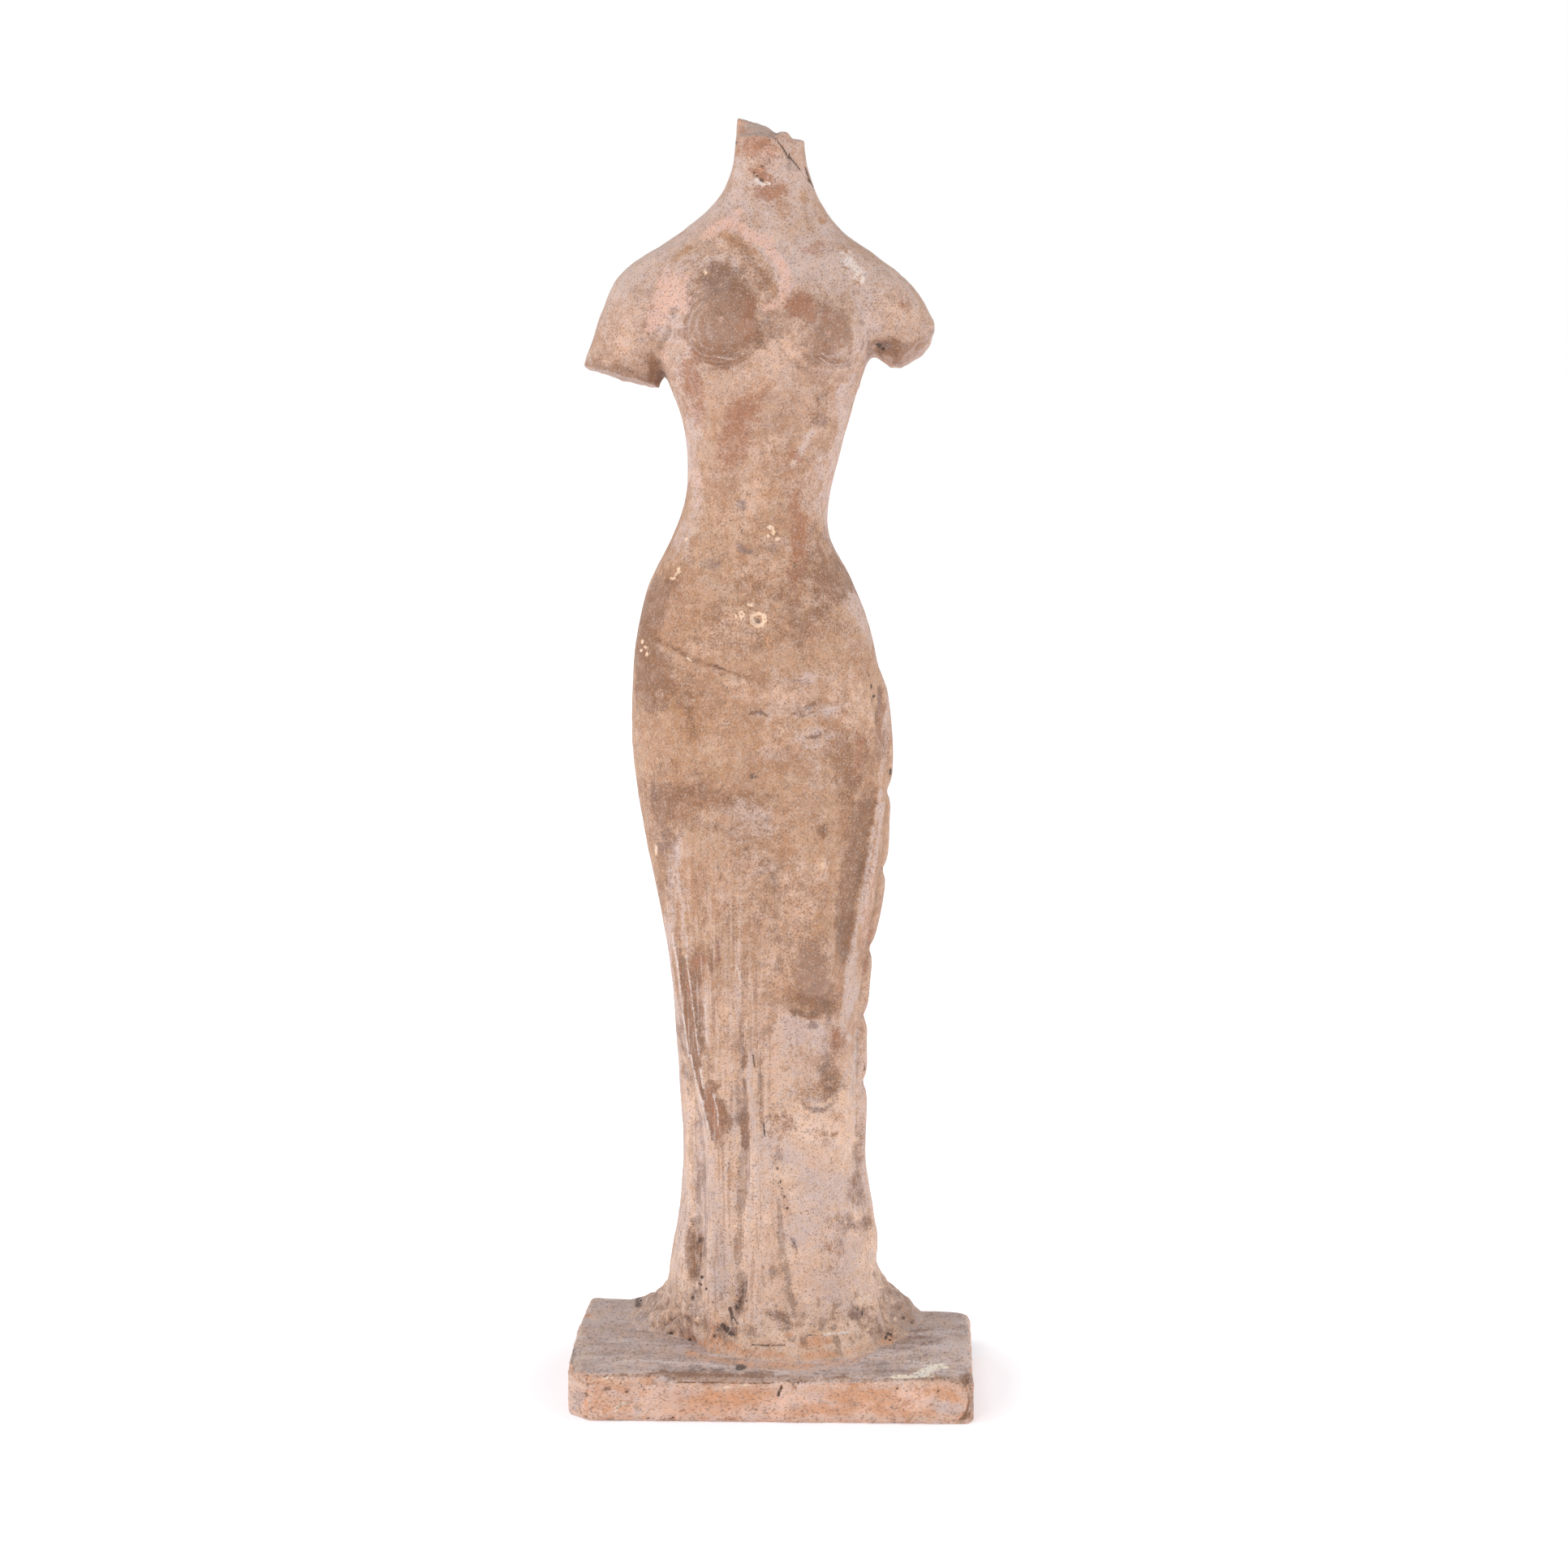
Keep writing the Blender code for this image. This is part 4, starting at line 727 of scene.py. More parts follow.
SLAB_STAINS = {
    "brown": (
        (896, 1697, 74, 8, 1.0, 1), (838, 1702, 8, 4, 1.0), (1134, 1640, 24, 4, 0.6, -8),
        (1120, 1650, 30, 3, 0.6, -4), (1145, 1655, 22, 3, 0.5, -10), (1105, 1662, 26, 3, 0.4, -4),
        (748, 1711, 7, 3, 0.7), (1020, 1700, 80, 4, 0.8), (1140, 1700, 54, 4, 0.8), (800, 1694, 60, 3, 0.6),
        # (1197, 1722) and (1192, 1700) are painted shade down the slab's right corner
        (752, 1696, 32, 2.4, 0.6, 2), (1197, 1722, 5, 30, 1.0, -4), (1192, 1700, 10, 7, 0.7, 30),
        # (880, 1750) and (1110, 1753) are painted shade along the slab's foot
        (880, 1750, 120, 2.5, 0.4), (1110, 1753, 90, 2.5, 0.35), (718, 1740, 12, 8, 0.4, 20),
    ),
    "bloom": (
        (1162, 1736, 26, 12, 1.0), (786, 1737, 8, 10, 0.9), (830, 1722, 40, 10, 0.5),
        (711, 1718, 11, 26, 0.9), (815, 1701, 14, 6, 0.8, 10), (885, 1714, 28, 6, 0.6),
        (800, 1665, 80, 8, 0.6), (1170, 1664, 24, 26, 0.5), (736, 1628, 26, 22, 0.8),
        (1165, 1626, 28, 9, 0.7), (920, 1735, 60, 7, 0.35), (760, 1725, 34, 12, 0.4),
        (1000, 1722, 26, 7, 0.4), (1085, 1722, 30, 6, 0.4), (745, 1650, 40, 8, 0.5),
    ),
    "smudge": (
        (786, 1736, 5, 4, 0.3), (850, 1684, 70, 4, 0.4, 2), (1060, 1690, 70, 4, 0.5, -2),
        (705, 1668, 4, 14, 0.9, 10), (712, 1720, 10, 26, 0.6), (735, 1650, 16, 6, 0.3),
        (1075, 1680, 50, 5, 0.4), (900, 1690, 60, 3, 0.5), (1165, 1743, 26, 2, 0.4),
        (745, 1670, 30, 4, 0.3),
    ),
    # near-black: painted shade in pits and chips
    "hole": (
        (913, 1684, 7.5, 4.6, 1.0), (722, 1717, 2, 3, 0.9), (773, 1714, 2, 1.6, 0.9),
        (799, 1747, 3, 1.3, 0.9), (806, 1748, 2, 1.2, 0.8), (829, 1747, 1.6, 1.4, 0.9),
        (1102, 1754, 3, 1.4, 0.9, 10), (1150, 1755, 3, 1.2, 0.8), (724, 1706, 1.2, 2, 0.9),
        (977, 1706, 3, 1.4, 0.8, -40), (983, 1705, 1.4, 3, 0.8, 20), (1106, 1710, 2, 1.3, 0.9),
        (1040, 1746, 1.6, 1.2, 0.7), (1099, 1733, 3, 1.0, 0.7), (1156, 1714, 1.3, 1.3, 0.8),
    ),
    "chalk": (
        (1142, 1689, 19, 6, 1.0, -14), (1153, 1684, 14, 5, 1.0, -8), (1118, 1697, 24, 3.0, 1.0, 1),
        (1163, 1686, 8, 2.4, 0.9), (1136, 1695, 14, 3, 0.9), (1101, 1741, 1.6, 1.6, 0.9),
        (982, 1709, 4, 2, 0.5, -30), (1127, 1738, 1.3, 1.8, 0.8),
    ),
    "fresh": (
        (905, 1722, 64, 14, 1.0), (1168, 1713, 30, 12, 1.0), (979, 1710, 6, 4, 0.8),
        (1060, 1718, 70, 12, 0.9), (801, 1702, 8, 5, 1.0, 10), (1105, 1711, 8, 3, 0.7),
        (723, 1620, 8, 2.4, 0.9, -6), (703, 1687, 4, 6, 1.0), (1010, 1738, 60, 9, 0.9),
        (860, 1742, 40, 6, 0.6), (770, 1744, 40, 4, 0.6), (760, 1706, 30, 5, 0.5), (1110, 1740, 50, 8, 0.8),
        (850, 1708, 40, 3, 0.6),
    ),
}
SLAB_STREAKS = {
    "fresh": (
        (((850, 1668), (880, 1676), (930, 1682), (990, 1684), (1030, 1680), (1066, 1668)), 6, 0.6),
    ),
    "brown": (
        (((830, 1696), (870, 1697), (920, 1699), (962, 1700)), 5, 1.0),
        # painted shade down the slab's right corner
        (((1172, 1700), (1187, 1708), (1196, 1722), (1194, 1740), (1182, 1753)), 3.5, 0.8),
    ),
    # near-black: painted shade along cracks and edges
    "hole": (
        (((722, 1697), (724, 1712), (722, 1722)), 0.9, 0.5), (((707, 1662), (704, 1680)), 1.3, 0.7),
        (((965, 1702), (1010, 1703), (1060, 1702)), 1.0, 0.5), (((1060, 1702), (1180, 1701)), 0.9, 0.3),
        (((833, 1702), (880, 1704), (960, 1704)), 1.2, 0.5),
        # painted contact shadow along the slab's foot
        (((722, 1748), (775, 1750), (820, 1752), (900, 1755), (990, 1755), (1190, 1757)), 0.9, 0.5),
    ),
    "chalk": (
        (((742, 1703), (752, 1693)), 0.9, 0.5), (((762, 1704), (770, 1695)), 0.9, 0.5),
        (((736, 1700), (757, 1697)), 0.9, 0.5), (((893, 1708), (930, 1707)), 1.2, 0.6),
    ),
    "pale": (
        (((845, 1708), (900, 1711), (960, 1714)), 4, 0.9),
        (((735, 1722), (800, 1733), (850, 1730)), 5, 0.8),
        (((970, 1716), (1030, 1713), (1100, 1712)), 4, 0.8),
        (((1040, 1745), (1120, 1748), (1170, 1747)), 4, 0.8),
    ),
    "bloom": (
        (((720, 1640), (800, 1644), (840, 1652)), 3, 0.5), (((740, 1680), (830, 1684)), 2.4, 0.5),
        (((1080, 1672), (1150, 1668)), 2.4, 0.5), (((1120, 1630), (1185, 1634)), 2.4, 0.6),
    ),
}

# Strokes of a tool around the swellings: (name, centre in thousandths, stains)
COMBED = (
    ("combed left", (-43, 838), ((836, 378, 34, 70, 1.0, 4), (868, 440, 40, 18, 0.5),
                                 (866, 318, 34, 16, 0.6, -30), (800, 360, 20, 50, 0.6, 20))),
    ("combed right", (43, 829), ((1058, 400, 14, 50, 0.9), (1030, 448, 30, 18, 0.9, -10),
                                 (1060, 352, 22, 22, 0.4))),
)
COMB_SPACING = 0.00052
COMB_WANDER = 3.5
COMB_LIE = (1.0, 0.3, 1.0)
COMB_DETAIL = 2.0
COMB_DETAIL_SCALE = 0.35
# Patches on the sides that the photograph hides: (finish, size mm, shift, sign, low, high, most)
FIGURE_HIDDEN = (
    ("bloom", 16, 11.0, 1, 0.0, 0.6, 0.7), ("brown", 16, 11.0, -1, 0.0, 0.7, 0.45),
    ("pale", 12, 31.0, 1, 0.1, 0.5, 0.6), ("rust", 9, 51.0, 1, 0.2, 0.7, 0.4),
    ("ochre", 14, 61.0, 1, 0.1, 0.5, 0.6),
)
SLAB_HIDDEN = (("bloom", 10, 71.0, 1, 0.0, 0.6, 0.6), ("brown", 9, 75.0, 1, 0.1, 0.7, 0.35))

# Clay colours, as the share of light they give back: (height in metres, first, second)
# Paler towards the foot: partly the clay's own colour, partly painted light that makes up for less light
# reaching the low parts
FIGURE_TONES = (
    (0.010, (0.560, 0.370, 0.268), (0.650, 0.450, 0.340)),
    (0.025, (0.575, 0.380, 0.278), (0.765, 0.545, 0.425)),
    (0.048, (0.575, 0.370, 0.262), (0.750, 0.520, 0.392)),
    (0.068, (0.430, 0.250, 0.162), (0.525, 0.335, 0.232)),
    (0.090, (0.380, 0.206, 0.119), (0.465, 0.280, 0.178)),
    (0.160, (0.378, 0.204, 0.117), (0.463, 0.278, 0.176)),
    (0.184, (0.392, 0.226, 0.146), (0.478, 0.302, 0.214)),
    (0.200, (0.408, 0.248, 0.172), (0.492, 0.324, 0.242)),
)
SLAB_TONES = ((0.0, (0.615, 0.325, 0.200), (0.730, 0.480, 0.375)),)
TONE_TOP = 0.24
SLAB_TOP_GREY = (0.460, 0.344, 0.308)
SLAB_TOP_PALE = (0.620, 0.515, 0.490)
SLAB_TOP_BROWN = (0.330, 0.230, 0.185)
CLOUD_COLOUR = (0.525, 0.392, 0.340)
STREAK_PALE = (0.600, 0.460, 0.405)
STREAK_BROWN = (0.290, 0.165, 0.115)
# Colour laid into the hollows to darken them
HOLLOW_DARKENING = (0.215, 0.132, 0.094)
RUBBED = (0.600, 0.445, 0.372)
BROKEN = (0.430, 0.305, 0.260)
SPECK_DARK = (0.180, 0.118, 0.095)
SPECK_PALE = (0.700, 0.560, 0.490)
WARM_TINT = (1.03, 0.985, 0.925)
COOL_TINT = (0.98, 1.012, 1.065)
# Grains of the clay: (size mm, detail, roughness, shift)
BLOTCHES = (4.5, 8.0, 0.62, 0.0)
CLOUDS = (3.0, 8.0, 0.66, 7.7)
MOTTLE = (0.8, 4.0, 0.6, 1.3)
PEPPER = (0.16, 2.0, 0.6, 4.7)
SALT = (0.19, 2.0, 0.6, 6.1)
BRUSHING = (0.7, 4.0, 0.62, 8.3)
STREAKING = (0.34, 3.0, 0.6, 9.1)
TINTING = (0.7, 4.0, 0.65, 2.9)
PATCHES = (7.0, 0.64, 11.3, 2.9)
EVENLY = (1.0, 1.0, 1.0)
SLAB_LIE = (1.5, 3.4, 1.0)
BRUSHING_LIE = (7.0, 3.0, 1.5)
STREAKING_LIE = (1.0, 1.0, 34.0)
# How each layer comes in: (from, to), and where it needs them (least, most)
BLOTCH_RANGE = (0.36, 0.64)
PALE_BRUSH = (0.50, 0.62, 0.0, 0.85)
BROWN_BRUSH = (0.48, 0.36, 0.0, 0.85)
CLOUD_RANGE = (0.50, 0.70, 0.0, 0.5)
CLOUD_LOW = (0.050, 0.075, 1.3, 0.4)
CLOUD_HIGH = (0.160, 0.195, 0.4, 1.0)
PATCH_RANGE = (0.10, 0.90)
PATCH_EDGE = (0.02, 0.22)
PALE_STREAK = (0.52, 0.62)
BROWN_STREAK = (0.47, 0.37)
PALE_STREAK_MOST = 0.5
BROWN_STREAK_MOST = 0.45
COMB_RANGE = (0.50, 0.95, 0.0, 0.34)
HOLLOW_DARKENING_RANGE = (0.20, 1.1)
RUBBED_RANGE = (-0.25, -1.1)
TINT_RANGE = (0.38, 0.62)
DARK_SPECKS = (0.54, 0.70, 0.0, 0.65)
PALE_SPECKS = (0.54, 0.70, 0.0, 0.33)
PINHOLE_RANGE = (0.055, 0.03)
ROUGHNESS_RANGE = (0.3, 0.7, 0.78, 0.95)
COARSER_RANGE = (0.03, 0.06, 1.5, 1.0)
BROKEN_MOST = 0.7
GRIT = 1.5
CLOUD_GRIT = -0.20
PATCH_GRIT = 0.5
BLOTCH_GRIT = -0.25
WORN_GRIT = 0.5
WORN_CLOUD = 1.2
SPECKLE = 0.17
PINHOLE_MOST = 0.9
PINHOLE_SPACING = 0.003
# What differs between the pieces: (most darkening in the hollows, most rubbing, pinholes from, pinholes to)
FIGURE_WEAR = (0.55, 0.18, 0.74, 0.84)
SLAB_WEAR = (0.3, 0.45, 0.85, 0.95)
BUMP_STRENGTH = 0.6
BUMP_DEPTH = 0.00015
BUMP_MOTTLE = 0.9
BUMP_SALT = 0.35
BUMP_SPECKS = 0.35
BUMP_STROKES = 0.8
# Finishes from the lowest up: (name, colour, most cover, size of its patchiness mm, grit's sign)
FINISHES = (
    ("bloom", (0.538, 0.400, 0.348), 0.85, 3.0, -1), ("pale", (0.620, 0.405, 0.300), 0.8, 3.5, -1),
    ("ochre", (0.410, 0.215, 0.110), 0.8, 2.5, 1), ("brown", (0.243, 0.120, 0.066), 0.92, 3.0, 1),
    ("rust", (0.335, 0.152, 0.086), 0.85, 2.0, 1), ("grime", (0.340, 0.225, 0.175), 0.85, 2.5, 1),
    ("ash", (0.430, 0.325, 0.288), 0.95, 2.5, 1),
    ("pink", (0.650, 0.405, 0.325), 0.8, 1.6, -1), ("fresh", (0.585, 0.298, 0.170), 0.85, 1.5, -1),
    # hole: near-black, painted shade in pits, cracks and cavities
    ("smudge", (0.200, 0.138, 0.128), 0.7, 2.2, 1), ("hole", (0.050, 0.036, 0.030), 0.95, 0.8, 1),
    ("cream", (0.780, 0.560, 0.400), 0.95, 0.8, -1), ("chalk", (0.780, 0.700, 0.590), 0.95, 1.2, -1),
    ("white", (0.700, 0.590, 0.540), 0.9, 0.8, -1),
)

# White surround, a glowing floor and lights
WHITE = (1.0, 1.0, 1.0)
FLOOR_SIZE = 8.0
FLOOR_COLOUR = (0.73, 0.71, 0.75)
# The floor's glow is painted light: weaker near the middle, so a faint shadow shows by the slab, and full
# further out
FLOOR_GLOW_RANGE = (0.042, 0.060, 0.37, 0.72)
WORLD_LIGHT = 0.52
LIGHT_AIM = (0.0, 0.0, 0.12)
# Soft lights: (name, place, width and height, watts)
LIGHTS = (
    ("left light", (-1.0, -0.35, 0.55), (0.6, 0.8), 5.0),
    ("right light", (1.0, -0.15, 0.40), (0.6, 0.8), 4.0),
    ("front light", (-0.30, -1.0, 1.05), (0.5, 0.4), 4.5),
)


# Shapes of lines and swellings, on whole arrays

def outline_at(outline, at):
    """Smooth value of a drawn outline at each place."""
    drawn = np.array(outline, dtype=float)
    places, sizes = drawn[:, 0], drawn[:, 1]
    slopes = np.empty_like(sizes)
    slopes[1:-1] = (sizes[2:] - sizes[:-2]) / (places[2:] - places[:-2])
    slopes[0] = (sizes[1] - sizes[0]) / (places[1] - places[0])
    slopes[-1] = (sizes[-1] - sizes[-2]) / (places[-1] - places[-2])
    at = np.clip(at, places[0], places[-1])
    index = np.clip(np.searchsorted(places, at, side="right") - 1, 0, len(places) - 2)
    span = places[index + 1] - places[index]
    t = (at - places[index]) / span
    rise = sizes[index] * (1 + 2 * t) * (1 - t) ** 2 + sizes[index + 1] * t * t * (3 - 2 * t)
    return rise + slopes[index] * span * t * (1 - t) ** 2 - slopes[index + 1] * span * t * t * (1 - t)


def step(low, high, value):
    """Smooth step from 0 at low to 1 at high."""
    t = np.clip((value - low) / (high - low), 0.0, 1.0)
    return t * t * (3 - 2 * t)


def between(span, fade, value):
    """1 inside a span, fading to 0 just within its ends."""
    return step(span[0], span[0] + fade, value) * (1 - step(span[1] - fade, span[1], value))


def dome(distance):
    """Rounded swelling: 1 at the middle, level at 1 and beyond."""
    return 0.5 + 0.5 * np.cos(np.pi * np.minimum(distance, 1.0))


def ridge(distance):
    """Rounded fold across its line."""
    return np.exp(-distance * distance)


def lumps(points, size, shift=0.0, stretch=(1.0, 1.0, 1.0)):
    """Smooth noise from -1 to 1, its lumps about that size."""
    scaled = points / (size * np.array(stretch)) + shift
    return np.array([noise.noise(place) for place in scaled.tolist()])


# Form of the figure, as in the frame

def hanging_line(line, z):
    """Place across the front of a line drawn from top to bottom, and how much of it is there."""
    rising = [(height, x) for x, height in reversed(line)]
    bottom, top = rising[0][0], rising[-1][0]
    fade = (top - bottom) * FOLD_FADE
    return outline_at(rising, z), between((bottom - fade, top + fade), 2 * fade, z)


def fold_relief(x, z):
    """All the folds of the front, raised and cut in."""
    total = np.zeros_like(x)
    for line, width, relief in HANGING_FOLDS:
        centre, present = hanging_line(line, z)
        total += relief * present * ridge((x - centre) / width)
    for line, width, relief in CAUGHT_FOLDS:
        present = between((line[0][0] - width, line[-1][0] + width), 2 * width, x)
        total += relief * present * ridge((z - outline_at(line, x)) / width)
    return total * FOLD_WEAR


def swelling(x, z, centre, width, rise, drop):
    """Dome with its own reach above and below."""
    reach = np.where(z > centre[1], rise, drop)
    distance = np.hypot((x - centre[0]) / width, (z - centre[1]) / reach)
    return dome(distance ** SWELLING_FULLNESS)


def front_relief(x, z):
    """Carving of the front, in thousandths outwards."""
    total = fold_relief(x, z)
    for breast in BREASTS:
        total += BREAST_RELIEF * swelling(x, z, breast, BREAST_WIDTH, BREAST_RISE, BREAST_DROP)
    total -= NAVEL_DEPTH * swelling(x, z, NAVEL, NAVEL_SIZE, NAVEL_SIZE, NAVEL_SIZE)
    total += BELLY_RELIEF * swelling(x, z, BELLY, BELLY_SIZE, BELLY_SIZE, BELLY_SIZE)
    total += KNEE_RELIEF * swelling(x, z, KNEE, KNEE_WIDTH, KNEE_RISE, KNEE_DROP)
    total -= SHIN_HOLLOW_DEPTH * swelling(x, z, SHIN_HOLLOW, SHIN_HOLLOW_SIZE, SHIN_HOLLOW_SIZE,
                                          SHIN_HOLLOW_SIZE)
    centre, present = hanging_line(THIGH_LINE, z)
    total += THIGH_RELIEF * present * dome(abs(x - centre) / THIGH_WIDTH)
    centre, present = hanging_line(STANDING_LEG_LINE, z)
    total += STANDING_LEG_RELIEF * present * dome(abs(x - centre) / STANDING_LEG_WIDTH)
    edge = outline_at(GARMENT_EDGE, x)
    below = 1 - step(edge - GARMENT_STEP_RUN, edge + GARMENT_STEP_RUN, z)
    total += GARMENT_STEP * below * step(edge - GARMENT_STEP_FADE, edge, z)
    return total


def back_relief(x, z):
    """Carving of the back, plainer than the front."""
    total = np.zeros_like(x)
    for buttock in BUTTOCKS:
        total += BUTTOCK_RELIEF * swelling(x, z, buttock, BUTTOCK_WIDTH, BUTTOCK_RISE, BUTTOCK_DROP)
    total -= SPINE_DEPTH * between(SPINE_SPAN, SPINE_FADE, z) * ridge((x - SPINE_X) / SPINE_WIDTH)
    spread = outline_at(LEFT_OUTLINE, z) + outline_at(RIGHT_OUTLINE, z)
    wave = np.cos(2 * np.pi * BACK_FOLD_COUNT * x / spread)
    total += BACK_FOLD_RELIEF * wave * (1 - step(BACK_FOLD_TOP - BACK_FOLD_FADE, BACK_FOLD_TOP, z))
    return total


def seam_relief(side, z):
    """Ragged mould seam down the right side."""
    present = between(SEAM_SPAN, SEAM_FADE, z)
    for chip in SEAM_CHIPS:
        present = present * (1 - SEAM_CHIP_LOSS * ridge((z - chip) / SEAM_CHIP_LENGTH))
    return SEAM_RELIEF * present * step(SEAM_EDGE, 1.0, side)


def slab_back(x):
    """Back edge of the slab, which runs askew."""
    return PLINTH_DEPTH / 2 - PLINTH_SHORT_SIDE_CUT * (x / PLINTH_WIDTH + 0.5)


def neck_break(x, y):
    """Height of the neck's broken top."""
    across = np.clip((x - NECK_MIDDLE) / NECK_HALF_WIDTH, -1.0, 1.0)
    reach = NECK_HALF_DEPTH * np.sqrt(1 - across * across)
    back = step(*NECK_BREAK_SPAN, (y + reach) / (2 * reach + NECK_BREAK_MARGIN))
    height = outline_at(NECK_FRONT_EDGE, x) * (1 - back) + outline_at(NECK_BACK_EDGE, x) * back
    places = np.stack([x, y, np.zeros_like(x)], axis=-1)
    return height + sum(rise * lumps(places, size, shift) for size, rise, shift in NECK_BREAK_LUMPS)


def body_points(bearing, height, inset):
    """Points of the figure's skin at bearings (0 is +X) and heights, in metres."""
    left, right = outline_at(LEFT_OUTLINE, height), outline_at(RIGHT_OUTLINE, height)
    power = 2.0 / outline_at(SQUARENESS, height)
    along_x, along_y = np.cos(bearing), np.sin(bearing)
    reach_x = np.copysign(abs(along_x) ** power, along_x)
    reach_y = np.copysign(abs(along_y) ** power, along_y)
    depth = np.where(reach_y > 0, outline_at(BACK_OUTLINE, height), outline_at(FRONT_OUTLINE, height))
    half = (left + right) / 2
    x = (right - left) / 2 + half * reach_x
    y = depth * reach_y
    facing = np.stack([along_x / half, along_y / depth])
    facing /= np.linalg.norm(facing, axis=0)
    out = front_relief(x, height) * step(0.0, SIDE_FADE, -facing[1])
    out += back_relief(x, height) * step(0.0, SIDE_FADE, facing[1])
    out += seam_relief(facing[0], height)
    lift = height * THOUSANDTH
    in_luting = lift < LUTING_HEIGHT
    rise = np.clip((lift + LUTING_FEATHER) / (LUTING_HEIGHT + LUTING_FEATHER), 0.0, 1.0)
    turn = np.degrees(bearing) % 360
    spread = outline_at(LUTING_SPREAD, turn)
    spread = spread + sum(size * np.sin(count * bearing + count) for count, size in LUTING_WAVES)
    out += spread * (1 - rise) ** outline_at(LUTING_HOLLOW, turn)
    x = (x + facing[0] * out) * inset
    y = (y + facing[1] * out) * inset
    height = np.where(height > NECK_BREAK_FROM, np.minimum(height, neck_break(x, y)), height)
    points = np.stack([x, y, height], axis=-1) * THOUSANDTH
    points[:, 1] += FIGURE_AXIS_Y
    side_limit = PLINTH_WIDTH / 2 - LUTING_EDGE_MARGIN
    points[in_luting, 0] = np.clip(points[in_luting, 0], -side_limit, side_limit)
    back_limit = slab_back(points[:, 0]) - LUTING_EDGE_MARGIN
    kept_on = np.clip(points[:, 1], LUTING_EDGE_MARGIN - PLINTH_DEPTH / 2, back_limit)
    points[in_luting, 1] = kept_on[in_luting]
    points[:, 2] += BED_HEIGHT
    return points


# Meshes

def cylinder(segments, rings):
    """Closed unit cylinder with evenly spaced rings and capped ends."""
    mesh = bmesh.new()
    bmesh.ops.create_cone(mesh, cap_ends=True, segments=segments, radius1=1.0, radius2=1.0, depth=1.0)
    upright = [edge for edge in mesh.edges if abs(edge.verts[0].co.z - edge.verts[1].co.z) > 0.5]
    bmesh.ops.subdivide_edges(mesh, edges=upright, cuts=rings - 2, use_grid_fill=True)
    return mesh


def end_face(mesh, level):
    """The flat end of a unit cylinder at that level."""
    return next(face for face in mesh.faces if all(abs(v.co.z - level) < 1e-5 for v in face.verts))


def ring_heights():
    """Heights of the body's rings: close in the luting and the neck, even between."""
    low = np.linspace(-LUTING_SINKS_IN, LUTING_HEIGHT * LUTING_RINGS_TOP, LUTING_RINGS) / THOUSANDTH
    high = np.linspace(NECK_RINGS_FROM, NECK_TOP, NECK_RINGS)
    middle = np.linspace(low[-1], high[0], BODY_RINGS - len(low) - len(high) + 2)[1:-1]
    return np.concatenate([low, middle, high])


def body_mesh():
    """Neck, torso, wrapped legs and luting as one closed skin."""
    mesh = cylinder(BODY_SEGMENTS, BODY_RINGS)
    cap = end_face(mesh, 0.5)
    for _ in range(CAP_INSETS):
        bmesh.ops.inset_individual(mesh, faces=[cap], thickness=1.0 / (CAP_INSETS + 1))
    bmesh.ops.poke(mesh, faces=[cap])
    places = np.array([vertex.co[:] for vertex in mesh.verts])
    heights = ring_heights()[np.rint((places[:, 2] + 0.5) * (BODY_RINGS - 1)).astype(int)]
    turn = np.arctan2(places[:, 1], places[:, 0])
    bearing = turn - FRONT_CROWDING * np.cos(turn)
    points = body_points(bearing, heights, np.hypot(places[:, 0], places[:, 1]))
    for vertex, point in zip(mesh.verts, points.tolist()):
        vertex.co = point
    return mesh


def arm_mesh(arm, end):
    """Upper arm from inside the shoulder to its break."""
    mesh = cylinder(ARM_SEGMENTS, ARM_RINGS)
    (break_x, break_z), facing = end
    facing = Vector(facing).normalized()
    sections = np.array(arm, dtype=float)
    places = np.array([vertex.co[:] for vertex in mesh.verts])
    along = (0.5 - places[:, 2]) * (len(arm) - 1)
    values = [outline_at(list(enumerate(sections[:, index])), along) for index in range(5)]
    x, z, half_width, half_depth, lean = values
    lean = np.radians(lean)
    points = np.stack([
        x + np.cos(lean) * places[:, 0] * half_width,
        ARM_AXIS_BACK + places[:, 1] * half_depth,
        z - np.sin(lean) * places[:, 0] * half_width,
    ], axis=-1)
    for vertex, point in zip(mesh.verts, points.tolist()):
        vertex.co = point
    cut = bmesh.ops.bisect_plane(mesh, geom=mesh.verts[:] + mesh.edges[:] + mesh.faces[:], dist=1e-4,
                                 plane_co=(break_x, ARM_AXIS_BACK, break_z), plane_no=facing,
                                 clear_outer=True)
    rim = [item for item in cut["geom_cut"] if isinstance(item, bmesh.types.BMEdge)]
    if rim:
        bmesh.ops.holes_fill(mesh, edges=rim, sides=0)
    for vertex in mesh.verts:
        vertex.co = vertex.co * THOUSANDTH + Vector((0.0, FIGURE_AXIS_Y, BED_HEIGHT))
    bmesh.ops.recalc_face_normals(mesh, faces=mesh.faces[:])
    return mesh


def new_object(name, meshes):
    """One object from some bmeshes, which it uses up."""
    data = bpy.data.meshes.new(name)
    whole = bmesh.new()
    for mesh in meshes:
        mesh.to_mesh(data)
        mesh.free()
        whole.from_mesh(data)
    whole.to_mesh(data)
    whole.free()
    thing = bpy.data.objects.new(name, data)
    bpy.context.scene.collection.objects.link(thing)
    return thing


def apply_modifiers(thing):
    """Makes an object's modifiers part of its mesh."""
    done = bpy.data.meshes.new_from_object(thing.evaluated_get(bpy.context.evaluated_depsgraph_get()))
    thing.modifiers.clear()
    old = thing.data
    thing.data = done
    bpy.data.meshes.remove(old)


def remesh(thing, voxel):
    """Melts an object's shells into one even skin."""
    modifier = thing.modifiers.new("skin", 'REMESH')
    modifier.mode = 'VOXEL'
    modifier.voxel_size = voxel
    modifier.use_smooth_shade = True
    apply_modifiers(thing)


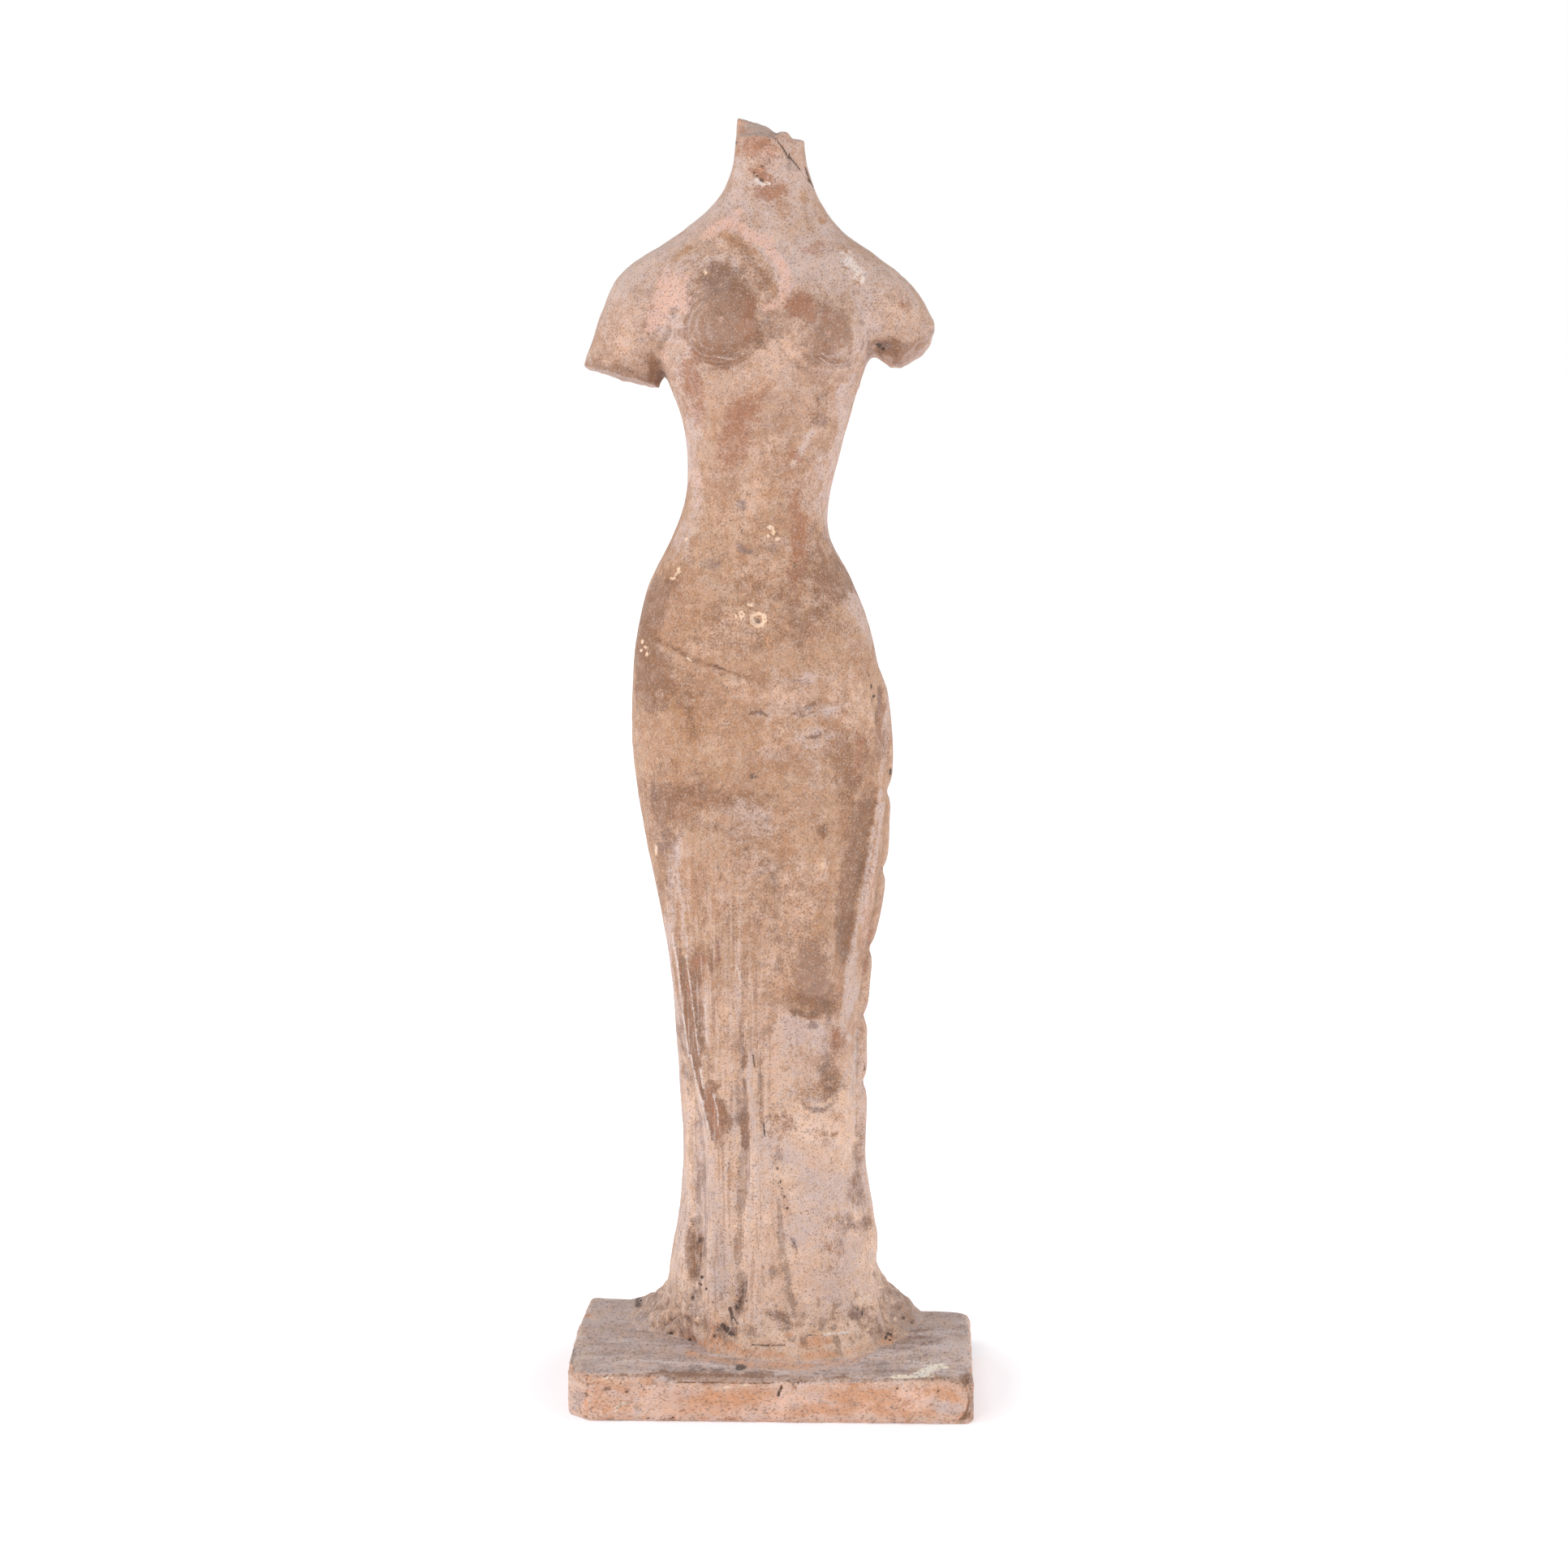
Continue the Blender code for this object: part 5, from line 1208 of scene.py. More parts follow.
def thin(thing, most, group=None):
    """Takes triangles until that many are left, from a vertex group where one is named."""
    triangles = sum(len(face.vertices) - 2 for face in thing.data.polygons)
    modifier = thing.modifiers.new("thin", 'DECIMATE')
    modifier.ratio = most / triangles
    if group:
        modifier.vertex_group = group
    apply_modifiers(thing)


def drop_flaps(thing):
    """Takes away pairs of faces that lie back to back on the same corners."""
    mesh = bmesh.new()
    mesh.from_mesh(thing.data)
    met = {}
    for face in mesh.faces:
        met.setdefault(frozenset(vertex.index for vertex in face.verts), []).append(face)
    doubled = [face for faces in met.values() if len(faces) > 1 for face in faces]
    bmesh.ops.delete(mesh, geom=doubled, context='FACES')
    mesh.to_mesh(thing.data)
    mesh.free()


def vertex_places(thing):
    """Places and outward directions of a mesh's vertices."""
    data = thing.data
    places = np.empty(len(data.vertices) * 3)
    data.vertices.foreach_get("co", places)
    facings = np.empty(len(data.vertices) * 3, dtype=np.float32)
    data.vertex_normals.foreach_get("vector", facings)
    return places.reshape(-1, 3), facings.reshape(-1, 3).astype(float)


def move_vertices(thing, places):
    thing.data.vertices.foreach_set("co", places.ravel())
    thing.data.update()


def seen(points, facings):
    """Pixels at which points show in the photograph, and how squarely they face it."""
    look = np.array((CAMERA_AIM - CAMERA_PLACE).normalized())
    across = np.cross(look, (0, 0, 1))
    across /= np.linalg.norm(across)
    away = points - np.array(CAMERA_PLACE)
    scale = PHOTO_SIDE * CAMERA_LENS / CAMERA_SENSOR / (away @ look)
    u = PHOTO_SIDE / 2 + (away @ across) * scale
    v = PHOTO_SIDE / 2 - (away @ np.cross(across, look)) * scale
    towards = -(facings * away).sum(axis=1) / np.linalg.norm(away, axis=1)
    return u, v, towards


def line_distance(u, v, line, reach):
    """Distance in pixels to a drawn line, where it is less than reach."""
    line = np.array(line, dtype=float)
    low, high = line.min(axis=0) - reach, line.max(axis=0) + reach
    near = np.where((u > low[0]) & (u < high[0]) & (v > low[1]) & (v < high[1]))[0]
    best = np.full(len(near), 1e9)
    for (u0, v0), (u1, v1) in zip(line[:-1], line[1:]):
        du, dv = u1 - u0, v1 - v0
        t = np.clip(((u[near] - u0) * du + (v[near] - v0) * dv) / (du * du + dv * dv), 0.0, 1.0)
        best = np.minimum(best, np.hypot(u[near] - u0 - t * du, v[near] - v0 - t * dv))
    return near, best


def neighbours(thing):
    """Ends of a mesh's edges, and how many meet at each vertex."""
    data = thing.data
    ends = np.empty(len(data.edges) * 2, dtype=np.int32)
    data.edges.foreach_get("vertices", ends)
    ends = ends.reshape(-1, 2)
    return ends, np.bincount(ends.ravel(), minlength=len(data.vertices))


def smoothed(places, ends, counts, rounds, where=None):
    """Places drawn towards their neighbours, round by round."""
    places = places.copy()
    if where is not None:
        keep = where[ends[:, 0]] | where[ends[:, 1]]
        ends = ends[keep]
        counts = np.maximum(np.bincount(ends.ravel(), minlength=len(places)), 1)
    size = len(places)
    for _ in range(rounds):
        total = np.stack([
            np.bincount(ends[:, 0], places[ends[:, 1], axis], size)
            + np.bincount(ends[:, 1], places[ends[:, 0], axis], size) for axis in range(3)], axis=-1)
        middle = total / counts[:, None]
        if where is None:
            places = (places + middle) / 2
        else:
            places[where] = (places[where] + middle[where]) / 2
    return places


def refine(thing, lines, spots):
    """Splits the faces along thin lines and around small spots, so that they can be carved and stained."""
    for reach in FINE_REACHES:
        points, facings = vertex_places(thing)
        u, v, towards = seen(points, facings)
        wanted = np.zeros(len(points), dtype=bool)
        for line in lines:
            near, distance = line_distance(u, v, line, reach)
            wanted[near[distance < reach]] = True
        for at_u, at_v, radius in spots:
            wanted |= np.hypot(u - at_u, v - at_v) < radius + reach
        wanted &= towards > REFINED_FACING
        mesh = bmesh.new()
        mesh.from_mesh(thing.data)
        edges = [edge for edge in mesh.edges if all(wanted[vertex.index] for vertex in edge.verts)]
        bmesh.ops.subdivide_edges(mesh, edges=edges, cuts=1)
        bmesh.ops.triangulate(mesh, faces=[face for face in mesh.faces if len(face.verts) > 3])
        mesh.to_mesh(thing.data)
        mesh.free()


def drawn_relief(points, facings, lines, spots):
    """Height in metres of the lines and spots that the photograph shows."""
    u, v, towards = seen(points, facings)
    away = (points - np.array(CAMERA_PLACE)) @ np.array((CAMERA_AIM - CAMERA_PLACE).normalized())
    per_mm = PHOTO_SIDE * CAMERA_LENS / CAMERA_SENSOR * MM / away
    shown = step(*RELIEF_FACING, towards)
    broken = LINE_HOLDS + LINE_WAVERS * lumps(points, LINE_WAVER_SIZE * MM, LINE_WAVER_SHIFT)
    relief = np.zeros(len(points))
    for line, half_width, height, *_ in lines:
        near, distance = line_distance(u, v, line, half_width * LINE_REACH * per_mm.max())
        across = distance / (half_width * per_mm[near])
        relief[near] += height * np.exp(-across ** 2) * broken[near]
    for spot_u, spot_v, radius, height in spots:
        relief += height * np.exp(-(np.hypot(u - spot_u, v - spot_v) / (radius * per_mm)) ** 2)
    return relief * shown * MM


def noise_relief(points, surface, stretch=(1.0, 1.0, 1.0)):
    """Height in metres of the lumps of a surface."""
    relief = np.zeros(len(points))
    shift, *kinds = ROUGHNESS[surface]
    for index, (size, height) in enumerate(kinds):
        relief += height * MM * lumps(points, size * MM, shift + NEXT_SHIFT * index, stretch)
    return relief


def covered(tone, near, strength, across, soft):
    """Adds a spot's cover to a finish: full inside, gone a little beyond 1, with an edge as soft as asked."""
    inner, outer = COVER_EDGE[0] - COVER_SOFTENING[0] * soft, COVER_EDGE[1] + COVER_SOFTENING[1] * soft
    edge = 1 - step(inner, outer, across)
    tone[near] = 1 - (1 - tone[near]) * (1 - strength * edge)


def edge_noise(points):
    """How ragged the edges of stains are at each place, and how far large ones wander."""
    ragged = sum(share * lumps(points, size * MM, shift) for size, share, shift in STAIN_RAGGED)
    drifts = [STAIN_DRIFT * lumps(points, STAIN_DRIFT_SIZE * MM, shift) for shift in STAIN_DRIFT_SHIFTS]
    return ragged, *drifts


def stain_cover(u, v, edges, stains, streaks=()):
    """How much of each place a finish's stains and streaks cover."""
    ragged, drift_u, drift_v = edges
    tone = np.zeros(len(u))
    for at_u, at_v, wide, high, strength, *turned in stains:
        size = max(wide, high)
        near = np.where((abs(u - at_u) < STAIN_REACH * size) & (abs(v - at_v) < STAIN_REACH * size))[0]
        turn = math.radians(sum(turned))
        cos, sin = math.cos(turn), math.sin(turn)
        wander = min(1.0, min(wide, high) / STAIN_WANDERS_FROM)
        du, dv = u[near] - at_u + wander * drift_u[near], v[near] - at_v + wander * drift_v[near]
        across = np.hypot((du * cos + dv * sin) / wide, (dv * cos - du * sin) / high)
        across += ragged[near] * min(STAIN_RAGGED_MOST, size / STAIN_RAGGED_FROM)
        covered(tone, near, strength, across, min(1.0, size / STAIN_SOFT_FROM))
    for line, half_width, strength in streaks:
        near, distance = line_distance(u, v, line, half_width * STREAK_REACH)
        soft = half_width / STREAK_SOFT_FROM
        across = distance / half_width + ragged[near] * min(STREAK_RAGGED_MOST, soft)
        covered(tone, near, strength, across, min(1.0, soft))
    return tone


def with_lines(streaks, lines):
    """The streaks of each finish, with those that follow carved lines."""
    every = {name: list(drawn) for name, drawn in streaks.items()}
    for line, _, _, *along in lines:
        for name, half_width, strength in along:
            every.setdefault(name, []).append((line, half_width, strength))
    return every


def hidden_patches(points, patches):
    """Plain patches of some finishes for the sides that the photograph hides."""
    return {name: step(low, high, sign * lumps(points, size * MM, shift)) * most
            for name, size, shift, sign, low, high, most in patches}


def paint(thing, stains, streaks, hidden, masks=()):
    """Gives a mesh an attribute for each finish and each mask, from their stains and streaks."""
    points, facings = vertex_places(thing)
    u, v, towards = seen(points, facings)
    edges = edge_noise(points)
    shown = step(*STAIN_FACING, towards)
    for name, *_ in FINISHES:
        tone = stain_cover(u, v, edges, stains.get(name, ()), streaks.get(name, ()))
        set_layer(thing, name, tone * shown + hidden.get(name, 0.0) * (1 - shown))
    for name, _, stained in masks:
        set_layer(thing, name, stain_cover(u, v, edges, stained) * step(*MASK_FACING, towards))


def set_layer(thing, name, values):
    layer = thing.data.attributes.new(name, 'FLOAT', 'POINT')
    layer.data.foreach_set("value", values.astype(np.float32))


def hollows(thing, rounds):
    """How far each vertex lies in a hollow (+) or on a ridge (-), 1 at the hollow depth and beyond."""
    points, facings = vertex_places(thing)
    ends, counts = neighbours(thing)
    away = smoothed(points, ends, counts, rounds) - points
    return np.clip((away * facings).sum(axis=1) / (HOLLOW_DEPTH * MM), -1.0, 1.0)


def break_plane(end):
    """Centre and outward direction of an arm's broken face."""
    (x, z), facing = end
    centre = np.array((x, ARM_AXIS_BACK, z)) * THOUSANDTH + (0.0, FIGURE_AXIS_Y, BED_HEIGHT)
    return centre, np.array(facing) / np.linalg.norm(facing)


def broken_faces(points, facings):
    """How much of each place belongs to a broken face of an arm."""
    share = np.zeros(len(points))
    for end in (LEFT_ARM_BREAK, RIGHT_ARM_BREAK):
        centre, facing = break_plane(end)
        near = 1 - step(*BREAK_NEAR, abs((points - centre) @ facing))
        around = np.linalg.norm(points - centre, axis=1) < BREAK_REACH
        share += near * step(*BREAK_FACING, facings @ facing) * around
    return share


def soften(figure):
    """Smooths where the arms grow out of the body, and rounds the right arm's stump."""
    points, facings = vertex_places(figure)
    ends, counts = neighbours(figure)
    x, height = points[:, 0] / THOUSANDTH, (points[:, 2] - BED_HEIGHT) / THOUSANDTH
    shoulder = ((abs(x) > SHOULDER_INNER) & (x > SHOULDER_ACROSS[0]) & (x < SHOULDER_ACROSS[1])
                & (height > SHOULDER_HEIGHTS[0]) & (height < SHOULDER_HEIGHTS[1])
                & (broken_faces(points, facings) < 0.1))
    points = smoothed(points, ends, counts, SHOULDER_SMOOTHING, shoulder)
    centre, facing = break_plane(RIGHT_ARM_BREAK)
    beyond = (points - centre) @ facing
    off_centre = np.linalg.norm(points - centre - beyond[:, None] * facing, axis=1) / STUMP_RADIUS
    crowned = (abs(beyond) < STUMP_SKIN) * np.maximum(1 - off_centre ** 2, 0.0)
    points += (STUMP_CROWN * crowned)[:, None] * facing
    beyond += STUMP_CROWN * crowned
    stump = (off_centre < STUMP_REACH) & (abs(beyond) < STUMP_DEPTH)
    limit = STUMP_CROWN * (1 - off_centre ** 2) - STUMP_ROUNDING * off_centre ** 4
    points -= (stump * np.maximum(beyond - limit, 0.0))[:, None] * facing
    move_vertices(figure, smoothed(points, ends, counts, STUMP_SMOOTHING, stump))


def roughen(figure):
    """Worn clay, broken faces, rough luting, brush streaks, and the crust on the shin."""
    points, facings = vertex_places(figure)
    relief = noise_relief(points, "figure")
    relief += broken_faces(points, facings) * noise_relief(points, "broken face")
    luting = 1 - step(BED_HEIGHT + LUTING_ROUGH[0], BED_HEIGHT + LUTING_ROUGH[1], points[:, 2])
    above_foot = step(BED_HEIGHT + LUTING_FOOT[0], BED_HEIGHT + LUTING_FOOT[1], points[:, 2])
    relief += luting * above_foot * noise_relief(points, "luting")
    low = 1 - step(STREAK_TOP - STREAK_FADE, STREAK_TOP, points[:, 2])
    side = 1 - STREAK_SIDE_LOSS * step(*STREAK_SIDE, points[:, 0])
    relief += low * side * (1 - luting) * noise_relief(points, "streaks", STREAK_STRETCH)
    u, v, towards = seen(points, facings)
    at_u, at_v, wide, high = CRUST
    crust = 1 - step(*CRUST_EDGE, np.hypot((u - at_u) / wide, (v - at_v) / high))
    relief += crust * step(*CRUST_FACING, towards) * noise_relief(points, "crust")
    points += facings * relief[:, None]
    points[:, 2] = np.maximum(points[:, 2], BED_HEIGHT - LUTING_SINKS_IN)
    move_vertices(figure, points)


def make_figure():
    """The figure's skin: form, wear, carved lines, and the stains as attributes."""
    figure = new_object("figure_skin", [
        body_mesh(), arm_mesh(LEFT_ARM, LEFT_ARM_BREAK), arm_mesh(RIGHT_ARM, RIGHT_ARM_BREAK)])
    remesh(figure, SKIN_VOXEL)
    soften(figure)
    roughen(figure)
    thin(figure, EVEN_TRIANGLES)
    _, facings = vertex_places(figure)
    back = figure.vertex_groups.new(name="back")
    back.add(np.where(facings[:, 1] > BACK_FACING)[0].tolist(), 1.0, 'REPLACE')
    thin(figure, THINNED_TRIANGLES, "back")

    streaks = with_lines(STREAKS, FIGURE_LINES)
    fine_lines = [line for line, half_width, *_ in FIGURE_LINES if half_width < FINE_LINE_MM]
    fine_lines += [line for name in FINE_STREAKS for line, _, _ in streaks[name]]
    fine_spots = [(at_u, at_v, max(wide, high)) for name in FINE_STAINS
                  for at_u, at_v, wide, high, *_ in STAINS[name] if max(wide, high) < FINE_SPOT_PIXELS]
    refine(figure, fine_lines, fine_spots)
    drop_flaps(figure)
    points, facings = vertex_places(figure)
    points += facings * drawn_relief(points, facings, FIGURE_LINES, FIGURE_SPOTS)[:, None]
    move_vertices(figure, points)

    points, facings = vertex_places(figure)
    hidden = hidden_patches(points, FIGURE_HIDDEN)
    hidden["grime"] = 1 - step(BED_HEIGHT + LUTING_GRIME[0], BED_HEIGHT + LUTING_GRIME[1], points[:, 2])
    paint(figure, STAINS, streaks, hidden, COMBED)
    neck_top = step(*NECK_TOP_FACING, facings[:, 2]) * (points[:, 2] > BED_HEIGHT + NECK_TOP_FACE)
    set_layer(figure, "broken", np.maximum(broken_faces(points, facings), neck_top))
    set_layer(figure, "hollow", hollows(figure, HOLLOW_ROUNDS))
    low = 1 - step(STREAK_TOP + STREAK_TONE_SPAN[0], STREAK_TOP + STREAK_TONE_SPAN[1], points[:, 2])
    side = 1 - STREAK_TONE_SIDE_LOSS * step(*STREAK_SIDE, points[:, 0])
    set_layer(figure, "streaky", low * side)
    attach(figure, "root")
    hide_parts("figure")
    return figure


def front_wave(x):
    """How far the hand-cut front edge of the slab falls short at x, in metres."""
    turn = 2 * math.pi * x / PLINTH_WIDTH
    return PLINTH_EDGE_WAVE * (1 + sum(share * np.sin(count * turn) for count, share in PLINTH_WAVES))


def slab_mesh():
    """Slab with a skewed back, worn corners and soft rims."""
    mesh = bmesh.new()
    bmesh.ops.create_cube(mesh, size=1.0)
    bmesh.ops.scale(mesh, vec=(PLINTH_WIDTH, PLINTH_DEPTH, PLINTH_THICKNESS), verts=mesh.verts[:])
    bmesh.ops.translate(mesh, vec=(0.0, 0.0, PLINTH_THICKNESS / 2), verts=mesh.verts[:])
    for vertex in mesh.verts:
        if vertex.co.x > 0 and vertex.co.y > 0:
            vertex.co.y -= PLINTH_SHORT_SIDE_CUT

    def corner(right, back):
        return [edge for edge in mesh.edges
                if all((v.co.x > 0) == right and (v.co.y > 0) == back for v in edge.verts)
                and abs(edge.verts[0].co.z - edge.verts[1].co.z) > PLINTH_THICKNESS / 2]

    for right, back, width, segments in (
            (False, False, PLINTH_CORNER_FACET, 1), (True, False, PLINTH_FRONT_CORNER_ROUND, 3),
            (True, True, PLINTH_BACK_CORNER_ROUND, 5), (False, True, PLINTH_FRONT_CORNER_ROUND, 3)):
        bmesh.ops.bevel(mesh, geom=corner(right, back), offset=width, segments=segments, profile=0.5,
                        affect='EDGES', offset_type='OFFSET', material=-1)
    rims = [edge for edge in mesh.edges
            if abs(edge.verts[0].co.z - edge.verts[1].co.z) < 1e-7
            and any(abs(face.normal.z) < 0.5 for face in edge.link_faces)]
    bmesh.ops.bevel(mesh, geom=rims, offset=PLINTH_RIM_ROUND, segments=3, profile=0.5,
                    affect='EDGES', offset_type='OFFSET', material=-1)
    return mesh


def brushed_share(points, facings):
    """How much of each place belongs to the slab's brushed top, up to the front edge drawn for it."""
    u, v, towards = seen(points, facings)
    edge_u, edge_v = np.array(TOP_FRONT_EDGE, dtype=float).T
    soft, wander, size, shift = TOP_EDGE
    below = v - np.interp(u, edge_u, edge_v) + wander * lumps(points, size * MM, shift)
    drawn = 1 - step(-soft, soft, below)
    low, high, wander, size, shift = TOP_FACING
    flat = step(low, high, facings[:, 2] + wander * lumps(points, size * MM, shift))
    front_y = -PLINTH_DEPTH / 2
    at_front = 1 - step(front_y + TOP_EDGE_REACH[0], front_y + TOP_EDGE_REACH[1], points[:, 1])
    return flat + (drawn - flat) * at_front * (towards > 0)


def make_slab():
    """The slab: worn rims, chips and scratches, and its stains as attributes."""
    slab = new_object("plinth_slab", [slab_mesh()])
    remesh(slab, SLAB_VOXEL)
    points, facings = vertex_places(slab)
    x, y, z = points.T
    front_y = -PLINTH_DEPTH / 2
    front = 1 - step(front_y + SLAB_FRONT_REACH[0], front_y + SLAB_FRONT_REACH[1], y)
    points[:, 1] += front_wave(x) * front * step(0.0, SLAB_FOOT_REACH, z)
    outward = 1 - step(0.0, SLAB_LEFT_REACH, x + PLINTH_WIDTH / 2)
    points[:, 0] -= PLINTH_LEFT_BULGE * outward * (1 - (y / (PLINTH_DEPTH / 2)) ** 2)
    top = step(PLINTH_THICKNESS - SLAB_TOP_REACH[0], PLINTH_THICKNESS - SLAB_TOP_REACH[1], z)
    wear = 1 - step(RIM_STEP_X - RIM_STEP_RUN, RIM_STEP_X, x)
    edge = 1 - step(0.0, RIM_WEAR_DEPTH, y + PLINTH_DEPTH / 2 - PLINTH_EDGE_WAVE)
    points[:, 2] -= (RIM_WEAR_LEAST + (RIM_WEAR - RIM_WEAR_LEAST) * wear) * edge * top
    relief = drawn_relief(points, facings, SLAB_LINES, SLAB_SPOTS)
    relief += noise_relief(points, "slab")
    side = 1 - abs(facings[:, 2])
    relief += step(*SLAB_SIDE_FACING, side) * noise_relief(points, "slab side")
    rim = step(*SLAB_RIM_RISE, side) * (1 - step(*SLAB_RIM_FALL, side))
    relief += rim * (noise_relief(points, "slab rim") - SLAB_RIM_LOSS * MM)
    points += facings * np.minimum(relief, SLAB_MOST_PROUD * MM)[:, None]
    underside = facings[:, 2] < UNDERSIDE_FACING
    points[underside, 2] = 0.0
    points[:, 2] = np.maximum(points[:, 2], 0.0)
    move_vertices(slab, points)
    points, facings = vertex_places(slab)
    paint(slab, SLAB_STAINS, with_lines(SLAB_STREAKS, SLAB_LINES), hidden_patches(points, SLAB_HIDDEN))
    set_layer(slab, "hollow", hollows(slab, HOLLOW_ROUNDS))
    set_layer(slab, "top", brushed_share(points, facings))
    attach(slab, "root")
    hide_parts("plinth")
    return slab


# Materials

def add_node(tree, kind, values=(), **settings):
    """A node with its settings, and its inputs set or linked by name or number."""
    made = tree.nodes.new(kind)
    for name, value in settings.items():
        setattr(made, name, value)
    for socket, value in values:
        if isinstance(value, bpy.types.NodeSocket):
            tree.links.new(value, made.inputs[socket])
        else:
            made.inputs[socket].default_value = value
    return made


def grain(tree, place, kind, lie=EVENLY):
    """Noise from 0 to 1, drawn out along the axes as asked."""
    size, detail, roughness, shift = kind
    mapping = add_node(tree, 'ShaderNodeMapping', (
        ("Vector", place), ("Location", (shift, shift, shift)), ("Scale", tuple(1 / share for share in lie))))
    made = add_node(tree, 'ShaderNodeTexNoise', (
        ("Vector", mapping.outputs[0]), ("Scale", 0.5 / (size * MM)), ("Detail", detail),
        ("Roughness", roughness)))
    return made.outputs[0]


def ramp(tree, value, low, high, to_low=0.0, to_high=1.0):
    """Smooth change from to_low to to_high as value goes from low to high."""
    made = add_node(tree, 'ShaderNodeMapRange', (
        (0, value), (1, low), (2, high), (3, to_low), (4, to_high)), interpolation_type='SMOOTHSTEP')
    return made.outputs[0]


def reckon(tree, operation, first, second):
    """A sum of two values, as Blender's Math node names it."""
    return add_node(tree, 'ShaderNodeMath', ((0, first), (1, second)), operation=operation).outputs[0]


def plus(tree, first, second):
    return reckon(tree, 'ADD', first, second)


def minus(tree, first, second):
    return reckon(tree, 'SUBTRACT', first, second)


def times(tree, first, second):
    return reckon(tree, 'MULTIPLY', first, second)


def laid_over(tree, share, below, above, mode='MIX'):
    """Colour above laid over colour below by a share."""
    made = add_node(tree, 'ShaderNodeMix', ((0, share), (6, below), (7, above)),
                    data_type='RGBA', blend_type=mode)
    return made.outputs[2]


def layer(tree, name):
    return add_node(tree, 'ShaderNodeAttribute', attribute_name=name).outputs["Fac"]


def opaque(colour):
    return (*colour, 1.0)


def by_height(tree, height, tones):
    """Colour that changes with the height above the floor."""
    made = add_node(tree, 'ShaderNodeValToRGB', ((0, reckon(tree, 'DIVIDE', height, TONE_TOP)),))
    elements = made.color_ramp.elements
    elements.remove(elements[1])
    elements[0].position = tones[0][0] / TONE_TOP
    elements[0].color = opaque(tones[0][1])
    for level, colour in tones[1:]:
        elements.new(level / TONE_TOP).color = opaque(colour)
    return made.outputs[0]


def comb_strokes(tree, place, centre):
    """Fine rings left by a tool around a swelling, from 0 to 1."""
    x, z = centre
    away = add_node(tree, 'ShaderNodeMapping', (
        ("Vector", place), ("Location", (-x * THOUSANDTH, -FIGURE_AXIS_Y, -z * THOUSANDTH - BED_HEIGHT)),
        ("Scale", COMB_LIE)))
    made = add_node(tree, 'ShaderNodeTexWave', (
        ("Vector", away.outputs[0]), ("Scale", math.pi / 10 / COMB_SPACING), ("Distortion", COMB_WANDER),
        ("Detail", COMB_DETAIL), ("Detail Scale", COMB_DETAIL_SCALE)),
        wave_type='RINGS', rings_direction='SPHERICAL')
    return made.outputs["Fac"]


def brushed_top(tree, place, colour):
    """Grey wash brushed over the slab's top."""
    top = layer(tree, "top")
    colour = laid_over(tree, top, colour, opaque(SLAB_TOP_GREY))
    brushed = grain(tree, place, BRUSHING, BRUSHING_LIE)
    for span, paler in ((PALE_BRUSH, SLAB_TOP_PALE), (BROWN_BRUSH, SLAB_TOP_BROWN)):
        colour = laid_over(tree, times(tree, ramp(tree, brushed, *span), top), colour, opaque(paler))
    return colour


def clouded(tree, above, cloud, grit, colour):
    """Pale clouds of dust, most at the foot and the shoulders."""
    clouds = ramp(tree, plus(tree, cloud, times(tree, grit, CLOUD_GRIT)), *CLOUD_RANGE)
    share = reckon(tree, 'MAXIMUM', ramp(tree, above, *CLOUD_LOW), ramp(tree, above, *CLOUD_HIGH))
    return laid_over(tree, times(tree, clouds, share), colour, opaque(CLOUD_COLOUR))


def finished(tree, place, grit, colour):
    """The finishes laid one over another where the mesh's attributes say, each patchy in its own way."""
    detail, roughness, first_shift, next_shift = PATCHES
    gritty = {sign: times(tree, grit, sign * PATCH_GRIT) for sign in (1, -1)}
    for index, (finish, tone, most, size, sign) in enumerate(FINISHES):
        painted = layer(tree, finish)
        patchy = grain(tree, place, (size, detail, roughness, first_shift + next_shift * index))
        patchy = plus(tree, minus(tree, patchy, 0.5), gritty[sign])
        share = ramp(tree, plus(tree, painted, patchy), *PATCH_RANGE, 0.0, most)
        share = times(tree, share, ramp(tree, painted, *PATCH_EDGE))
        colour = laid_over(tree, share, colour, opaque(tone))
    return colour


def streaked(tree, place, colour):
    """Upright brush streaks down the folds."""
    streak = grain(tree, place, STREAKING, STREAKING_LIE)
    streaky = layer(tree, "streaky")
    for span, most, tone in ((PALE_STREAK, PALE_STREAK_MOST, STREAK_PALE),
                             (BROWN_STREAK, BROWN_STREAK_MOST, STREAK_BROWN)):
        share = times(tree, ramp(tree, streak, *span), times(tree, streaky, most))
        colour = laid_over(tree, share, colour, opaque(tone))
    return colour


def combed(tree, place, colour):
    """Rings of the tool around the breasts, and the last of them for the bump."""
    for mask, centre, _ in COMBED:
        strokes = times(tree, ramp(tree, comb_strokes(tree, place, centre), *COMB_RANGE), layer(tree, mask))
        colour = laid_over(tree, strokes, colour, opaque(STREAK_PALE))
    return colour, strokes


def rubbed(tree, cloud, grit, most_darkening, most_rubbed, colour):
    """Darker in the hollows and paler on rubbed ridges, both broken up by the grain."""
    uneven = times(tree, minus(tree, cloud, 0.5), WORN_CLOUD)
    worn = plus(tree, layer(tree, "hollow"), plus(tree, uneven, times(tree, grit, WORN_GRIT)))
    colour = laid_over(tree, ramp(tree, worn, *HOLLOW_DARKENING_RANGE, 0.0, most_darkening), colour, opaque(HOLLOW_DARKENING))
    return laid_over(tree, ramp(tree, worn, *RUBBED_RANGE, 0.0, most_rubbed), colour, opaque(RUBBED))


